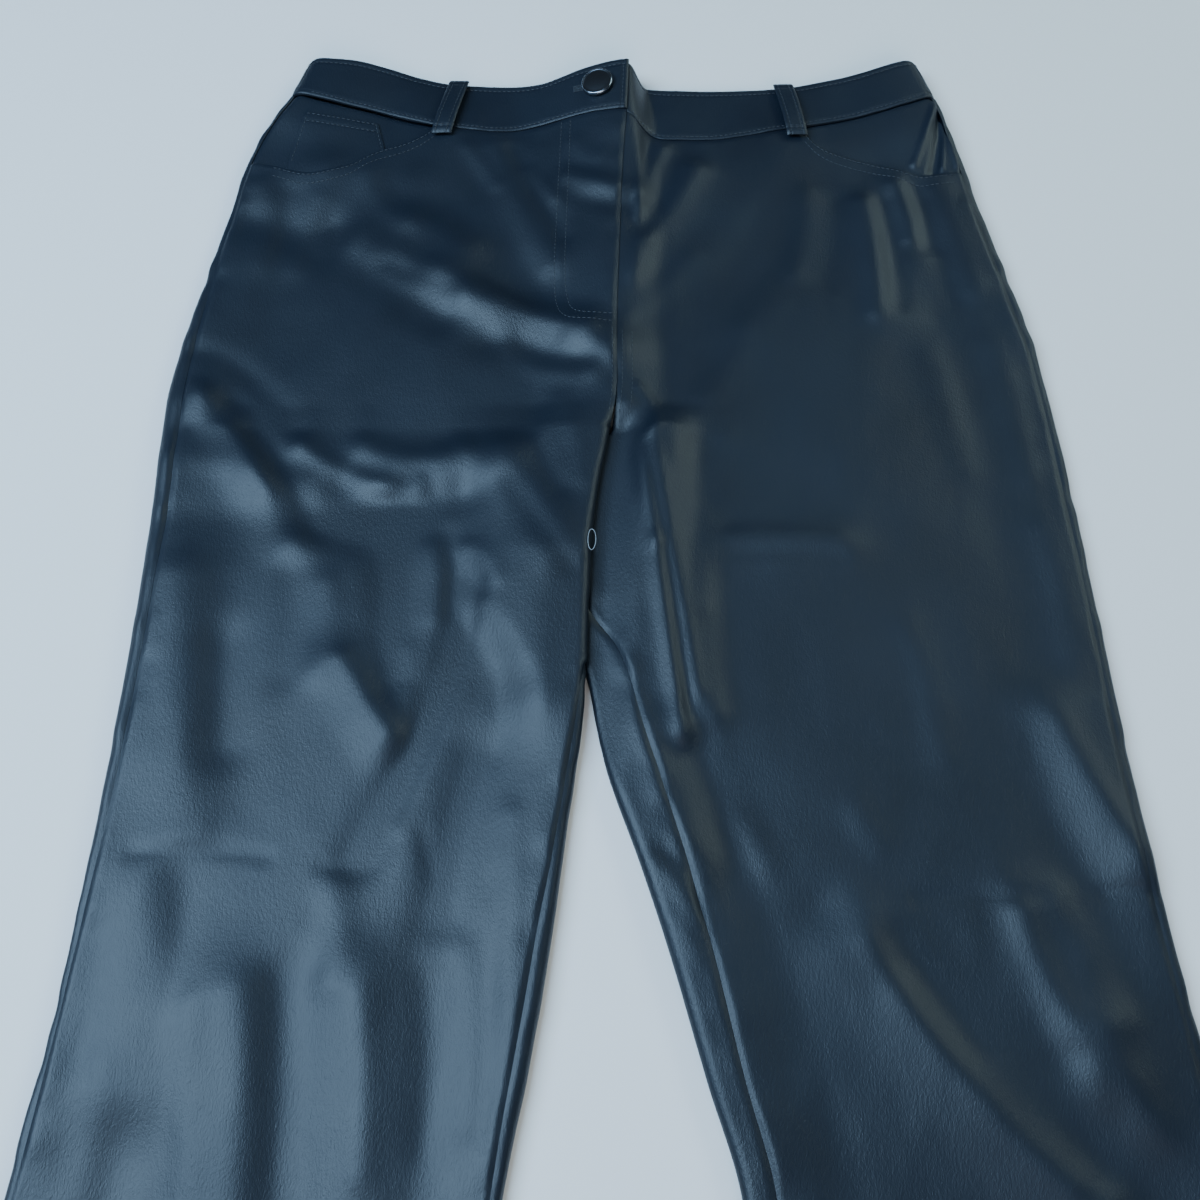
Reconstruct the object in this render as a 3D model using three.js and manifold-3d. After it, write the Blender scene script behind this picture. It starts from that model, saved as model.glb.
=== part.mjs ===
// Leather trousers laid flat, front side up. Lengths are millimetres.
// +X runs to the right as the front is looked at, +Y towards the waist and +Z up off the table.
// "down" is measured towards the hem from a level line 8 mm below the waistband's side ends.

import * as THREE from "three";
import { mergeVertices } from "three/addons/utils/BufferGeometryUtils.js";
import Module from "manifold-3d";

const wasm = await Module();
wasm.setup();

// Driving sizes
const LENGTH = 1045;
const BAND_END = -8;
const HEM = BAND_END + LENGTH;
const CLOTH = 1.2;
const BAND_CLOTH = 2;
const BAND_PROUD = 0.5;
const HEM_TURN = 25;
const HEM_CLOTH = 2.2;
const HEM_STEP = 1.5; // the length over which the cloth grows thicker
const SEAM_GAP = 0.5;
const LAYERS = 3.2; // two layers of cloth and the air between them
const FACING_DEPTH = 1.6; // how far a pocket facing lies below the front panel's face
const COIN_SINK = 1.3; // how much deeper the left facing lies under the coin pocket
const SINK_FROM = 5; // that starts this far from the side, and takes the next width to be full
const SINK_WIDTH = 14;
const COIN_DEPTH = 1.5;
const COIN_CLOTH = 1;
const UNDER_FRONT = 8; // how far a facing runs on under the front panel
const LAP = 1.6; // how far the right front lies below the left front at the fly
const BAND_LAP = 2.4;
const BAND_TAIL = 26; // the right band's end, beyond the right front's, under the left band
const UNDER_LEG = 5.3; // height of the right leg where the left leg lies on it
const LEG_CLEAR = 6; // from the left leg's edge to where the right thigh rises again
const THIGH_RISE = 20; // the width over which it rises
const RIDGE_INSIDE = 14; // from the right leg's inner edge to the top of its roll
const CALM = 12; // the right front has no folds this close to the fly
const ROLL = 0.62; // a folded edge's reach inwards, for each millimetre of its height
const ROLL_INSIDE = 5; // how far inside the edge that height is read
const SOFTNESS = 0.8;
const CROTCH = 266;
const LOOP_WIDTH = 11;
const LOOP_CLOTH = 1.4;
const LOOP_BULGE = 2.2;
const LOOP_BEND = 0.7; // under 1 the loop rises steeply at its ends and is flat between them
const LOOP_TAIL = 9; // how far a loop reaches below the waistband
const BUTTON = { x: -9.3, down: 19, radius: 10, shank: 1.8, hole: 2.5, slit: 0.9, slitLength: 15 };
const SLIDE = 170; // sections above this line follow the waist seam
const HIDE = new THREE.Color(0.016, 0.023, 0.033);
const GUNMETAL = new THREE.Color(0.12, 0.12, 0.13);

// Turns a header and its lines into one array for each named column.
function columns(names, lines) {
  const heads = names.split(" ");
  return Object.fromEntries(heads.map((name, i) => [name, lines.map((line) => line[i])]));
}

const SIDES = columns("down left right seamLeft seamRight", [
  [-8, -194, 194, 3, 3],
  [22, -203.5, 203.5, 3, 3],
  [39, -212, 208, 3, 3],
  [55, -219, 211, 3, 4],
  [72, -224, 215, 3, 4],
  [104, -229.5, 220, 3, 4],
  [142, -236, 227.5, 4, 5],
  [179, -241.5, 234, 6, 5],
  [214, -247, 240, 8.5, 5],
  [248, -249.5, 243, 10, 5],
  [312, -247.5, 246, 9.5, 5],
  [371, -246.5, 248, 8, 5],
  [476, -248, 250.5, 6, 5],
  [568, -252, 257, 3, 5],
  [649, -260, 266, 4.5, 5],
  [800, -274, 278, 5, 5],
  [1037, -295, 295, 5, 5],
]);

// The fly's edge, then the centre front seam, then the left leg's inner edge.
const CREST = columns("down x top reachLeft reachRight", [
  [-8, 10.7, 23, 74, 9],
  [40, 8.5, 18.5, 74, 20],
  [72, 6.2, 15, 72, 24],
  [127, 3.9, 12.5, 66, 28],
  [197, 1.7, 11.5, 58, 30],
  [235, 1.5, 12, 56, 32],
  [250, 0.6, 12.5, 55, 34],
  [266, -2.2, 13, 54, 34],
  [280, -4.5, 13, 52, 34],
  [299, -8, 13, 50, 34],
  [336, -12.2, 13, 48, 34],
  [418, -15.2, 13, 46, 34],
  [462, -19.7, 11.5, 44, 34],
  [504, -25.4, 10.5, 42, 34],
  [546, -30.8, 10, 42, 34],
  [602, -40, 9.5, 42, 34],
  [649, -49.2, 9.5, 42, 34],
  [800, -64, 9, 42, 34],
  [1037, -88, 9.5, 50, 34],
]);

// The right leg's inner edge, and where both inseams run: plus is on top of the edge, minus under it.
const INSEAMS = columns("down rightEdge left right", [
  [266, -1.8, 0, 0],
  [280, -20, -6, 5],
  [299, -31, -9, 11],
  [336, -39, -8, 17],
  [368, -36, -5, 20],
  [397, -20.5, -2, 21],
  [418, -13.5, 1.8, 21.5],
  [440, -9.5, 3, 23],
  [462, -4.5, 4, 25],
  [504, 10, 5, 22.5],
  [546, 23.3, 7.5, 20],
  [602, 38.8, 7.3, 16.5],
  [649, 52.1, 5, 14.3],
  [800, 67, 5, 10],
  [1037, 90, 5, 8],
]);

// How the left leg's underside climbs over the right thigh.
const CLIMB = columns("down from full height", [
  [250, -60, -30, 0],
  [266, -64, -34, 5.7],
  [280, -74, -44, 5.7],
  [299, -84, -56, 5.7],
  [368, -86, -58, 5.7],
  [397, -72, -44, 5.7],
  [418, -62, -34, 5.7],
  [440, -60, -32, 2.8],
  [462, -60, -30, 0],
]);

// Heights of the folded outer edges, of the right leg's inner edge and of the air in mid panel.
const EDGES = columns("down left right reachLeft reachRight inner innerReach middle", [
  [-8, 14, 13.5, 108, 92, 8, 30, 0.6],
  [40, 13, 12.5, 96, 84, 8, 30, 1],
  [100, 11, 10.5, 72, 66, 8, 30, 1.2],
  [170, 10, 10, 58, 54, 9, 30, 1.4],
  [266, 10, 9.5, 54, 50, 9.5, 30, 1.5],
  [418, 10, 9.5, 52, 48, 10, 34, 1.5],
  [504, 10, 9.5, 52, 48, 10, 40, 1.5],
  [649, 9.5, 9, 50, 48, 9, 42, 1.5],
  [880, 9, 9, 50, 48, 8.5, 44, 1.8],
  [1037, 10.5, 10.5, 70, 70, 10.5, 60, 7],
]);

const BAND_FRONT_LEFT = columns("x top seam", [
  [-202, -8, 22],
  [-190, -8, 24],
  [-170, -8, 28],
  [-146, -5, 32],
  [-123, 1, 38],
  [-97, 5.5, 44],
  [-72, 7, 46],
  [-46, 6, 42.5],
  [-21, 3, 39.5],
  [11, 0.5, 38.5],
]);

const BAND_FRONT_RIGHT = columns("x top seam", [
  [-30, 4, 39.5],
  [8, 2, 39.5],
  [12, 3, 41],
  [18, 7, 46],
  [25, 8.5, 49.5],
  [34, 9.5, 51.5],
  [55, 10, 51.5],
  [94, 9, 47],
  [132, 5, 40],
  [158, 1, 35.5],
  [185, -6, 29],
  [200, -8, 24],
]);

const BAND_BACK = columns("x top seam", [
  [-202, -8, 22],
  [-150, -3, 33],
  [-90, 8, 46],
  [0, 9, 47],
  [90, 10, 48],
  [150, -1, 35],
  [202, -8, 24],
]);

// The scooped pocket mouths, cut out of the front panels.
const SCOOP_LEFT = columns("x down", [
  [-230, 75],
  [-207, 80],
  [-186, 85],
  [-163, 78],
  [-146, 65],
  [-129, 57],
  [-110, 42],
  [-100, 20],
]);

const SCOOP_RIGHT = columns("x down", [
  [112, 20],
  [120, 49],
  [129, 60],
  [142, 67],
  [158, 73],
  [174, 79],
  [190, 85],
  [222, 83],
]);

// The belt loops' middle lines.
const LOOPS = columns("leg topX lowX", [
  ["left", -97.5, -106.5],
  ["right", 108.5, 114.5],
]);

// The coin pocket's side edges, at its top and where it has gone under the front panel.
const COIN = columns("down outer inner", [
  [36, -191.5, -148],
  [72, -198.5, -139],
]);
const COIN_TOP = { outer: 36.5, inner: 40 };

// The button's outline, from the shank's end to the middle of its face: radius and height.
const BUTTON_OUTLINE = columns("radius height", [
  [0, -2],
  [BUTTON.shank, -2],
  [BUTTON.shank, 0.35],
  [BUTTON.radius - 0.8, 0.35],
  [BUTTON.radius, 1],
  [BUTTON.radius, 2.2],
  [BUTTON.radius - 0.7, 2.9],
  [BUTTON.radius - 1.8, 2.6],
  [BUTTON.radius / 2, 3],
  [0, 3.3],
]);

// How far the right front reaches under the left front.
const UNDERLAP = columns("down reach", [
  [40, 12],
  [190, 12],
  [208, 4],
  [232, 4],
  [250, -0.4],
]);

// Soft folds: each runs through three points, with its height and its half width.
const FOLDS = columns("leg height width x1 down1 x2 down2 x3 down3", [
  ["left", 3.4, 20, -190, 50, -150, 56, -104, 50],
  ["left", 4, 22, -175, 84, -134, 115, -94, 144],
  ["left", -2.6, 10, -218, 120, -160, 143, -100, 186],
  ["left", 4.6, 11, -151, 134, -72, 181, -6, 213],
  ["left", -2.4, 14, -134, 98, -84, 128, -36, 188],
  ["left", 2.4, 8, -72, 60, -56, 108, -37, 150],
  ["left", 1.6, 8, -27, 100, -12, 99, 0, 99],
  ["left", 4, 10, -228, 250, -197, 290, -169, 332],
  ["left", 2.6, 12, -236, 312, -206, 314, -178, 308],
  ["left", 3.2, 9, -172, 279, -122, 306, -64, 281],
  ["left", -3, 10, -169, 322, -142, 326, -116, 322],
  ["left", -2.8, 9, -118, 330, -114, 370, -111, 413],
  ["left", 2.6, 11, -66, 284, -46, 312, -28, 341],
  ["left", 2.6, 13, -42, 346, -42, 385, -42, 425],
  ["left", 3.6, 13, -224, 359, -215, 420, -206, 489],
  ["left", -2, 9, -200, 394, -197, 420, -193, 448],
  ["left", 2.4, 9, -141, 405, -128, 424, -114, 444],
  ["left", -3, 8, -77, 364, -88, 424, -121, 502],
  ["left", -2.4, 8, -68, 453, -77, 492, -83, 530],
  ["left", 3, 14, -217, 520, -214, 560, -214, 604],
  ["left", 4, 16, -178, 568, -172, 630, -170, 720],
  ["left", -2.4, 10, -150, 560, -146, 620, -142, 700],
  ["left", 4, 14, -116, 560, -112, 620, -112, 730],
  ["left", 3.4, 20, -212, 760, -214, 840, -222, 930],
  ["left", 3.6, 20, -142, 800, -148, 880, -152, 970],
  ["right", 2.8, 20, 184, 52, 150, 54, 110, 50],
  ["right", 2.4, 6, 30, 62, 23, 88, 17, 112],
  ["right", 3, 9, 50, 80, 32, 118, 8, 160],
  ["right", -1.6, 14, 96, 122, 78, 156, 56, 176],
  ["right", 2.2, 11, 155, 108, 155, 146, 160, 186],
  ["right", 1.8, 9, 171, 90, 178, 116, 181, 146],
  ["right", 3.6, 6, 8, 262, 22, 330, 33, 440],
  ["right", 3.2, 7, 30, 262, 36, 330, 47, 430],
  ["right", 1.8, 9, 60, 338, 90, 336, 121, 338],
  ["right", 3.6, 12, 214, 430, 226, 468, 244, 506],
  ["right", 3, 12, 184, 528, 193, 564, 210, 602],
  ["right", 4, 14, 114, 542, 144, 594, 196, 656],
  ["right", 2.6, 11, 214, 580, 222, 598, 230, 620],
  ["right", 3.4, 20, 128, 760, 140, 850, 152, 950],
  ["right", 3.4, 18, 214, 720, 216, 800, 226, 900],
]);

// Stretches of the panels' sections, each with the number of parts it is divided into.
const STRETCHES = columns("from parts", [
  [0, 6],
  [170, 3],
  [250, 1],
  [266, 1],
  [280, 6],
  [418, 2],
  [462, 6],
  [660, 7],
  [HEM - HEM_TURN - HEM_STEP, 1],
  [HEM - HEM_TURN, 1],
]);

const FRONT_PARTS = [0, 0.018, 0.05, 0.1, 0.16, 0.22, 0.3, 0.38, 0.47, 0.56, 0.66, 0.76, 0.88, 1];
const BACK_PARTS = [0.15, 0.3, 0.46, 0.62, 0.76, 0.88];
const FOLD_STEPS = 8;

const clamp = (value, low, high) => Math.min(Math.max(value, low), high);
const mix = (a, b, t) => a + (b - a) * t;
const ease = (t) => t * t * (3 - 2 * t);
const heightToY = (down) => LENGTH / 2 + BAND_END - down;

// A smooth curve through a table's points that never swings past them.
function curve(table, value, along = "down") {
  const xs = table[along];
  const ys = table[value];
  const slopes = xs.slice(1).map((x, i) => (ys[i + 1] - ys[i]) / (x - xs[i]));
  const leans = xs.map((_, i) => {
    const before = slopes[Math.max(i - 1, 0)];
    const after = slopes[Math.min(i, slopes.length - 1)];
    return before * after <= 0 ? 0 : (2 * before * after) / (before + after);
  });
  return (at) => {
    const x = clamp(at, xs[0], xs[xs.length - 1]);
    let i = 0;
    while (i < xs.length - 2 && x > xs[i + 1]) i += 1;
    const step = xs[i + 1] - xs[i];
    const t = (x - xs[i]) / step;
    const bend = t * (1 - t) * step * (leans[i] * (1 - t) - leans[i + 1] * t);
    return mix(ys[i], ys[i + 1], ease(t)) + bend;
  };
}

const crestX = curve(CREST, "x");
const crestTop = curve(CREST, "top");
const crestLeft = curve(CREST, "reachLeft");
const crestRight = curve(CREST, "reachRight");
const climbFrom = curve(CLIMB, "from");
const climbFull = curve(CLIMB, "full");
const climbHeight = curve(CLIMB, "height");
const innerTop = curve(EDGES, "inner");
const innerReach = curve(EDGES, "innerReach");
const middleLoft = curve(EDGES, "middle");
const rightEdge = curve(INSEAMS, "rightEdge");
const underlap = curve(UNDERLAP, "reach");

// Everything that differs between the two legs. "away" is the distance outwards from the middle.
const LEGS = {
  left: {
    sign: -1,
    side: curve(SIDES, "left"),
    sideSeam: curve(SIDES, "seamLeft"),
    sideTop: curve(EDGES, "left"),
    sideReach: curve(EDGES, "reachLeft"),
    inseam: curve(INSEAMS, "left"),
    inner: crestX,
    bandTop: curve(BAND_FRONT_LEFT, "top", "x"),
    bandSeam: curve(BAND_FRONT_LEFT, "seam", "x"),
    scoop: curve(SCOOP_LEFT, "down", "x"),
  },
  right: {
    sign: 1,
    side: curve(SIDES, "right"),
    sideSeam: curve(SIDES, "seamRight"),
    sideTop: curve(EDGES, "right"),
    sideReach: curve(EDGES, "reachRight"),
    inseam: curve(INSEAMS, "right"),
    inner: rightEdge,
    bandTop: curve(BAND_FRONT_RIGHT, "top", "x"),
    bandSeam: curve(BAND_FRONT_RIGHT, "seam", "x"),
    scoop: curve(SCOOP_RIGHT, "down", "x"),
  },
};
const backTop = curve(BAND_BACK, "top", "x");
const backSeam = curve(BAND_BACK, "seam", "x");

// Each fold's line as short straight steps of a curve through its three points.
const foldLines = FOLDS.leg.map((leg, i) => {
  const [x1, x2, x3] = [FOLDS.x1[i], FOLDS.x2[i], FOLDS.x3[i]];
  const [d1, d2, d3] = [FOLDS.down1[i], FOLDS.down2[i], FOLDS.down3[i]];
  const bend = (a, b, c, t) => mix(mix(a, 2 * b - (a + c) / 2, t), mix(2 * b - (a + c) / 2, c, t), t);
  const points = Array.from({ length: FOLD_STEPS + 1 }, (_, k) => [
    bend(x1, x2, x3, k / FOLD_STEPS),
    bend(d1, d2, d3, k / FOLD_STEPS),
  ]);
  return { leg, points, height: FOLDS.height[i], width: FOLDS.width[i] };
});

// The height that the folds of one leg add at a point.
function folds(leg, x, down) {
  let sum = 0;
  for (const fold of foldLines) {
    if (fold.leg !== leg) continue;
    let near = Infinity;
    for (let k = 0; k < FOLD_STEPS; k += 1) {
      const [ax, ad] = fold.points[k];
      const [bx, bd] = fold.points[k + 1];
      const length = (bx - ax) ** 2 + (bd - ad) ** 2;
      const t = clamp(((x - ax) * (bx - ax) + (down - ad) * (bd - ad)) / length, 0, 1);
      near = Math.min(near, (x - mix(ax, bx, t)) ** 2 + (down - mix(ad, bd, t)) ** 2);
    }
    sum += fold.height * Math.exp(-near / (2 * fold.width ** 2));
  }
  return sum;
}

// A smooth fall from 1 at distance 0 to 0 at the reach.
function fall(distance, reach) {
  return Math.cos((Math.PI / 2) * clamp(distance / reach, 0, 1)) ** 2;
}

// Keeps the layers apart: never much below 0, and the value itself well above it.
function soft(value) {
  return (value + Math.hypot(value, SOFTNESS)) / 2;
}

// The height of a leg's underside.
function underside(leg, x, down) {
  if (leg === "right") return 0;
  const t = clamp((x - climbFrom(down)) / (climbFull(down) - climbFrom(down)), 0, 1);
  return climbHeight(down) * ease(t);
}

// The height of the left front's face.
function leftFace(x, down) {
  const under = underside("left", x, down);
  const middle = middleLoft(down);
  const side = LEGS.left.sideTop(down) - LAYERS - middle;
  const crest = crestTop(down) - LAYERS - climbHeight(down) - middle;
  const rise =
    middle +
    side * fall(x - LEGS.left.side(down), LEGS.left.sideReach(down)) +
    crest * fall(crestX(down) - x, crestLeft(down)) +
    folds("left", x, down);
  return under + LAYERS + soft(rise);
}

// The height of the right front's face.
function rightFace(x, down, lap) {
  const crest = crestX(down);
  const middle = middleLoft(down);
  const side = LEGS.right.sideTop(down) - LAYERS - middle;
  const edge = middle + side * fall(LEGS.right.side(down) - x, LEGS.right.sideReach(down));
  if (down < CROTCH) {
    if (x <= crest) return leftFace(x, down) - lap;
    const crown = leftFace(crest, down) - lap - LAYERS - middle;
    const drop = crown * fall(x - crest, crestRight(down));
    return LAYERS + soft(drop + edge + folds("right", x, down) * ease(clamp((x - crest) / CALM, 0, 1)));
  }
  const clear = crest + LEG_CLEAR;
  const hump = clamp((x - clear) / THIGH_RISE, 0, 1);
  const ridge = Math.max(clear + THIGH_RISE, rightEdge(down) + RIDGE_INSIDE);
  const inner = (innerTop(down) - LAYERS - middle) * fall(x - ridge, innerReach(down));
  const hidden = UNDER_LEG - LAYERS;
  const open = inner + edge + folds("right", x, down);
  return LAYERS + mix(hidden, soft(open), ease(hump));
}

function face(leg, x, down, lap) {
  return leg === "left" ? leftFace(x, down) : rightFace(x, down, lap);
}

// The direction into the cloth below a face whose height is given by a function.
function intoFace(height, away) {
  const step = 0.5;
  const slope = (height(away + step) - height(away - step)) / (2 * step);
  const length = Math.hypot(slope, 1);
  return [slope / length, -1 / length];
}

// One cross section of a leg, or of half the hips above the crotch, with its folded edges
// as half ellipses. Points on it are [away, height, and the direction into the cloth].
function section(leg, down, lap = LAP) {
  const { sign, side, inner } = LEGS[leg];
  const top = (away) => face(leg, sign * away, down, lap);
  const under = (away) => underside(leg, sign * away, down);
  const roll = (edge, inwards) => {
    const height = top(edge + inwards * ROLL_INSIDE) - under(edge + inwards * ROLL_INSIDE);
    const reach = ROLL * height;
    const start = edge + inwards * reach;
    const middle = (top(start) + under(start)) / 2;
    const half = (top(start) - under(start)) / 2;
    const at = (angle) => [start - inwards * reach * Math.cos(angle), middle + half * Math.sin(angle)];
    return { edge, reach, start, inwards, at };
  };
  const outer = roll(sign * side(down), -1);
  const open = down < CROTCH;
  const within = open ? null : roll(sign * inner(down), 1);
  return { leg, sign, down, top, under, outer, within, lap };
}

const ROLL_STEPS = 12;

// Walks over a folded edge from "above" mm inside it on top to "below" mm inside it underneath.
function overRoll(cut, roll, above, below) {
  const points = [];
  const steps = ROLL_STEPS;
  const inside = (away) => roll.edge + roll.inwards * away;
  for (let i = 0; i < steps && above > roll.reach; i += 1) {
    const away = inside(mix(above, roll.reach, i / steps));
    points.push([away, cut.top(away)]);
  }
  for (let i = 0; i <= 2 * steps; i += 1) points.push(roll.at((Math.PI / 2) * (1 - i / steps)));
  for (let i = 1; i <= steps && below > roll.reach; i += 1) {
    const away = inside(mix(roll.reach, below, i / steps));
    points.push([away, cut.under(away)]);
  }
  return withNormals(points, roll.inwards);
}

// Adds to each point of a walk over an edge the direction into the cloth.
function withNormals(points, inwards) {
  return points.map(([away, z], i) => {
    const [fromA, fromZ] = points[Math.max(i - 1, 0)];
    const [toA, toZ] = points[Math.min(i + 1, points.length - 1)];
    const length = Math.max(Math.hypot(toA - fromA, toZ - fromZ), 1e-9);
    return [away, z, (-inwards * (toZ - fromZ)) / length, (inwards * (toA - fromA)) / length];
  });
}

// Where along a walk over an edge a seam lies: plus is on top of the edge, minus under it.
function seamPlace(points, roll, seam) {
  const extreme = points.reduce(
    (best, point, i) => (Math.abs(point[0] - roll.edge) < Math.abs(points[best][0] - roll.edge) ? i : best),
    0,
  );
  const inside = (point) => (point[0] - roll.edge) * roll.inwards;
  if (seam >= 0) {
    for (let i = 1; i <= extreme; i += 1) {
      const [a, b] = [inside(points[i - 1]), inside(points[i])];
      if (seam <= a && seam >= b) return i - 1 + (a - seam) / Math.max(a - b, 1e-9);
    }
  } else {
    for (let i = extreme + 1; i < points.length; i += 1) {
      const [a, b] = [inside(points[i - 1]), inside(points[i])];
      if (-seam >= a && -seam <= b) return i - 1 + (-seam - a) / Math.max(b - a, 1e-9);
    }
  }
  return extreme;
}

// The running lengths of a line of points.
function lengths(points) {
  const run = [0];
  for (let i = 1; i < points.length; i += 1) {
    run.push(run[i - 1] + Math.hypot(points[i][0] - points[i - 1][0], points[i][1] - points[i - 1][1]));
  }
  return run;
}

function pointAt(points, run, length) {
  let i = 1;
  while (i < points.length - 1 && run[i] < length) i += 1;
  const t = (length - run[i - 1]) / Math.max(run[i] - run[i - 1], 1e-9);
  return points[i].map((value, k) => mix(points[i - 1][k], value, t));
}

// Evenly spaced points between two places, given as lengths along the line.
function divide(points, from, to, parts) {
  const run = lengths(points);
  return Array.from({ length: parts + 1 }, (_, i) => pointAt(points, run, mix(from, to, i / parts)));
}

function placeLength(points, place) {
  const run = lengths(points);
  const i = Math.min(Math.floor(place), points.length - 2);
  return mix(run[i], run[i + 1], place - i);
}

const HALF_GAP = SEAM_GAP / 2;
const CENTRE_GAP = HALF_GAP + 0.05; // each back's distance from the centre seam
const CENTRE_STRIP = 14; // the closer columns beside it
const TAIL_PARTS = 4;
const FLY_STEPS = 40;
const INNER_PARTS = 5;
const INNER_SPARE = 10; // how far a walk goes on beyond its seam, in three places
const OUTER_SPARE = 8;
const ON_TOP_SPARE = 2;

// The walk over the inner edge, and the length along it where the inseam lies.
function innerWalk(cut) {
  const { within, leg, down } = cut;
  const seam = LEGS[leg].inseam(down);
  const above = Math.max(within.reach, seam) + INNER_SPARE;
  const hidden = crestX(down) + LEG_CLEAR + THIGH_RISE + ON_TOP_SPARE - within.edge;
  const clear = leg === "right" ? hidden : 0;
  const below = Math.max(within.reach, -seam) + INNER_SPARE;
  const points = overRoll(cut, within, Math.max(above, clear), below);
  return { points, seam: placeLength(points, seamPlace(points, within, seam)) };
}

// A front panel's line in one section, from the side seam to the fly or the inseam.
function frontLine(leg, down, { innerParts, lap, reachUnder, flyReach, tail = 0 }) {
  const cut = section(leg, down, lap);
  const start = cut.outer.edge - LEGS[leg].sideSeam(down) - HALF_GAP;
  let last;
  if (cut.within) {
    const walk = innerWalk(cut);
    last = divide(walk.points, 0, walk.seam - HALF_GAP, innerParts);
  } else {
    const edge = cut.sign * crestX(down);
    const end = leg === "left" ? edge + HALF_GAP : edge - reachUnder(down);
    const topPoint = (away) => [away, cut.top(away), ...intoFace(cut.top, away)];
    const line = Array.from({ length: FLY_STEPS + 1 }, (_, i) =>
      topPoint(mix(edge + flyReach, end, i / FLY_STEPS)),
    );
    last = divide(line, 0, lengths(line)[FLY_STEPS], innerParts);
    for (let i = 1; i <= TAIL_PARTS && tail > 0; i += 1) {
      last.push(topPoint(end - (tail * i) / TAIL_PARTS));
    }
  }
  const rollTop = (away) => {
    const { outer } = cut;
    if (away <= outer.start) return cut.top(away);
    return outer.at(Math.acos(clamp((away - outer.start) / outer.reach, 0, 1)))[1];
  };
  const panel = FRONT_PARTS.map((part) => {
    const away = mix(start, last[0][0], part);
    return [away, rollTop(away), ...intoFace(rollTop, away)];
  });
  return placed(cut, [...panel.slice(0, -1), ...last]);
}

// A line's points as places across the garment, with the direction into the cloth.
function placed(cut, line) {
  return line.map(([away, z, nx, nz]) => ({ x: cut.sign * away, z, nx: cut.sign * nx, nz }));
}

// The start of a back panel's line: from the side seam over the outer edge and under it.
function outerLine(cut) {
  const seam = LEGS[cut.leg].sideSeam(cut.down);
  const below = cut.outer.reach + OUTER_SPARE;
  const above = Math.max(cut.outer.reach, seam) + ON_TOP_SPARE;
  const points = overRoll(cut, cut.outer, above, below);
  const run = lengths(points);
  const place = placeLength(points, seamPlace(points, cut.outer, seam)) + HALF_GAP;
  const extreme = placeLength(points, seamPlace(points, cut.outer, 0));
  return [
    ...divide(points, place, extreme, 2),
    ...divide(points, extreme, run[run.length - 1], 3).slice(1),
  ];
}

// A back panel's line in one section, from the side seam round to the centre back or the inseam.
function backLine(leg, down) {
  const cut = section(leg, down);
  const first = outerLine(cut);
  let last;
  if (cut.within) {
    const walk = innerWalk(cut);
    const end = lengths(walk.points).at(-1);
    last = divide(walk.points, end, walk.seam + HALF_GAP, INNER_PARTS);
  } else {
    const parts = Array.from({ length: INNER_PARTS + 1 }, (_, i) => i / INNER_PARTS);
    last = parts.map((part) => [mix(CENTRE_STRIP, CENTRE_GAP, part), 0, 0, 1]);
  }
  const from = first[first.length - 1][0];
  const flat = BACK_PARTS.map((part) => {
    const away = mix(from, last[0][0], part);
    const [na, nz] = intoFace(cut.under, away);
    return [away, cut.under(away), -na, -nz];
  });
  return placed(cut, [...first, ...flat, ...last]);
}

const WAIST = 40;
const SETTLE_STEPS = 8;

// The sections' places, before they follow the waist seam.
function sectionPlaces() {
  const ends = [...STRETCHES.from.slice(1), HEM];
  const places = STRETCHES.from.flatMap((from, i) =>
    Array.from({ length: STRETCHES.parts[i] }, (_, k) => mix(from, ends[i], k / STRETCHES.parts[i])),
  );
  return [...places, HEM];
}

// How far down a column of a panel meets an edge that is given by x.
function settle(line, column, edge) {
  let down = WAIST;
  for (let i = 0; i < SETTLE_STEPS; i += 1) down = edge(line(down)[column].x);
  return down;
}

// A panel's face as rows of points. Above the slide line each column starts at the panel's top edge.
function panelRows(line, topEdge) {
  const tops = line(SLIDE).map((_, column) => settle(line, column, topEdge));
  return sectionPlaces().map((place) => {
    const plain = place >= SLIDE ? line(place) : null;
    return tops.map((top, column) => {
      const down = plain ? place : mix(top, SLIDE, place / SLIDE);
      return { down, ...(plain ?? line(down))[column] };
    });
  });
}

// Rows between two edges, for bands, facings and small pieces.
function stripRows(line, topEdge, lowEdge, parts) {
  const ends = line(WAIST).map((_, i) => [settle(line, i, topEdge), settle(line, i, lowEdge)]);
  return Array.from({ length: parts + 1 }, (_, row) =>
    ends.map(([top, low], column) => {
      const down = mix(top, low, row / parts);
      return { down, ...line(down)[column] };
    }),
  );
}

// Rows of points as a sheet that lies "depth" mm into the cloth.
function sheet(rows, depth) {
  return rows.map((row) =>
    row.map((point) => {
      const into = typeof depth === "function" ? depth(point) : depth;
      const [x, z] = [point.x + point.nx * into, point.z + point.nz * into];
      return new THREE.Vector3(x, heightToY(point.down), z);
    }),
  );
}

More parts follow.
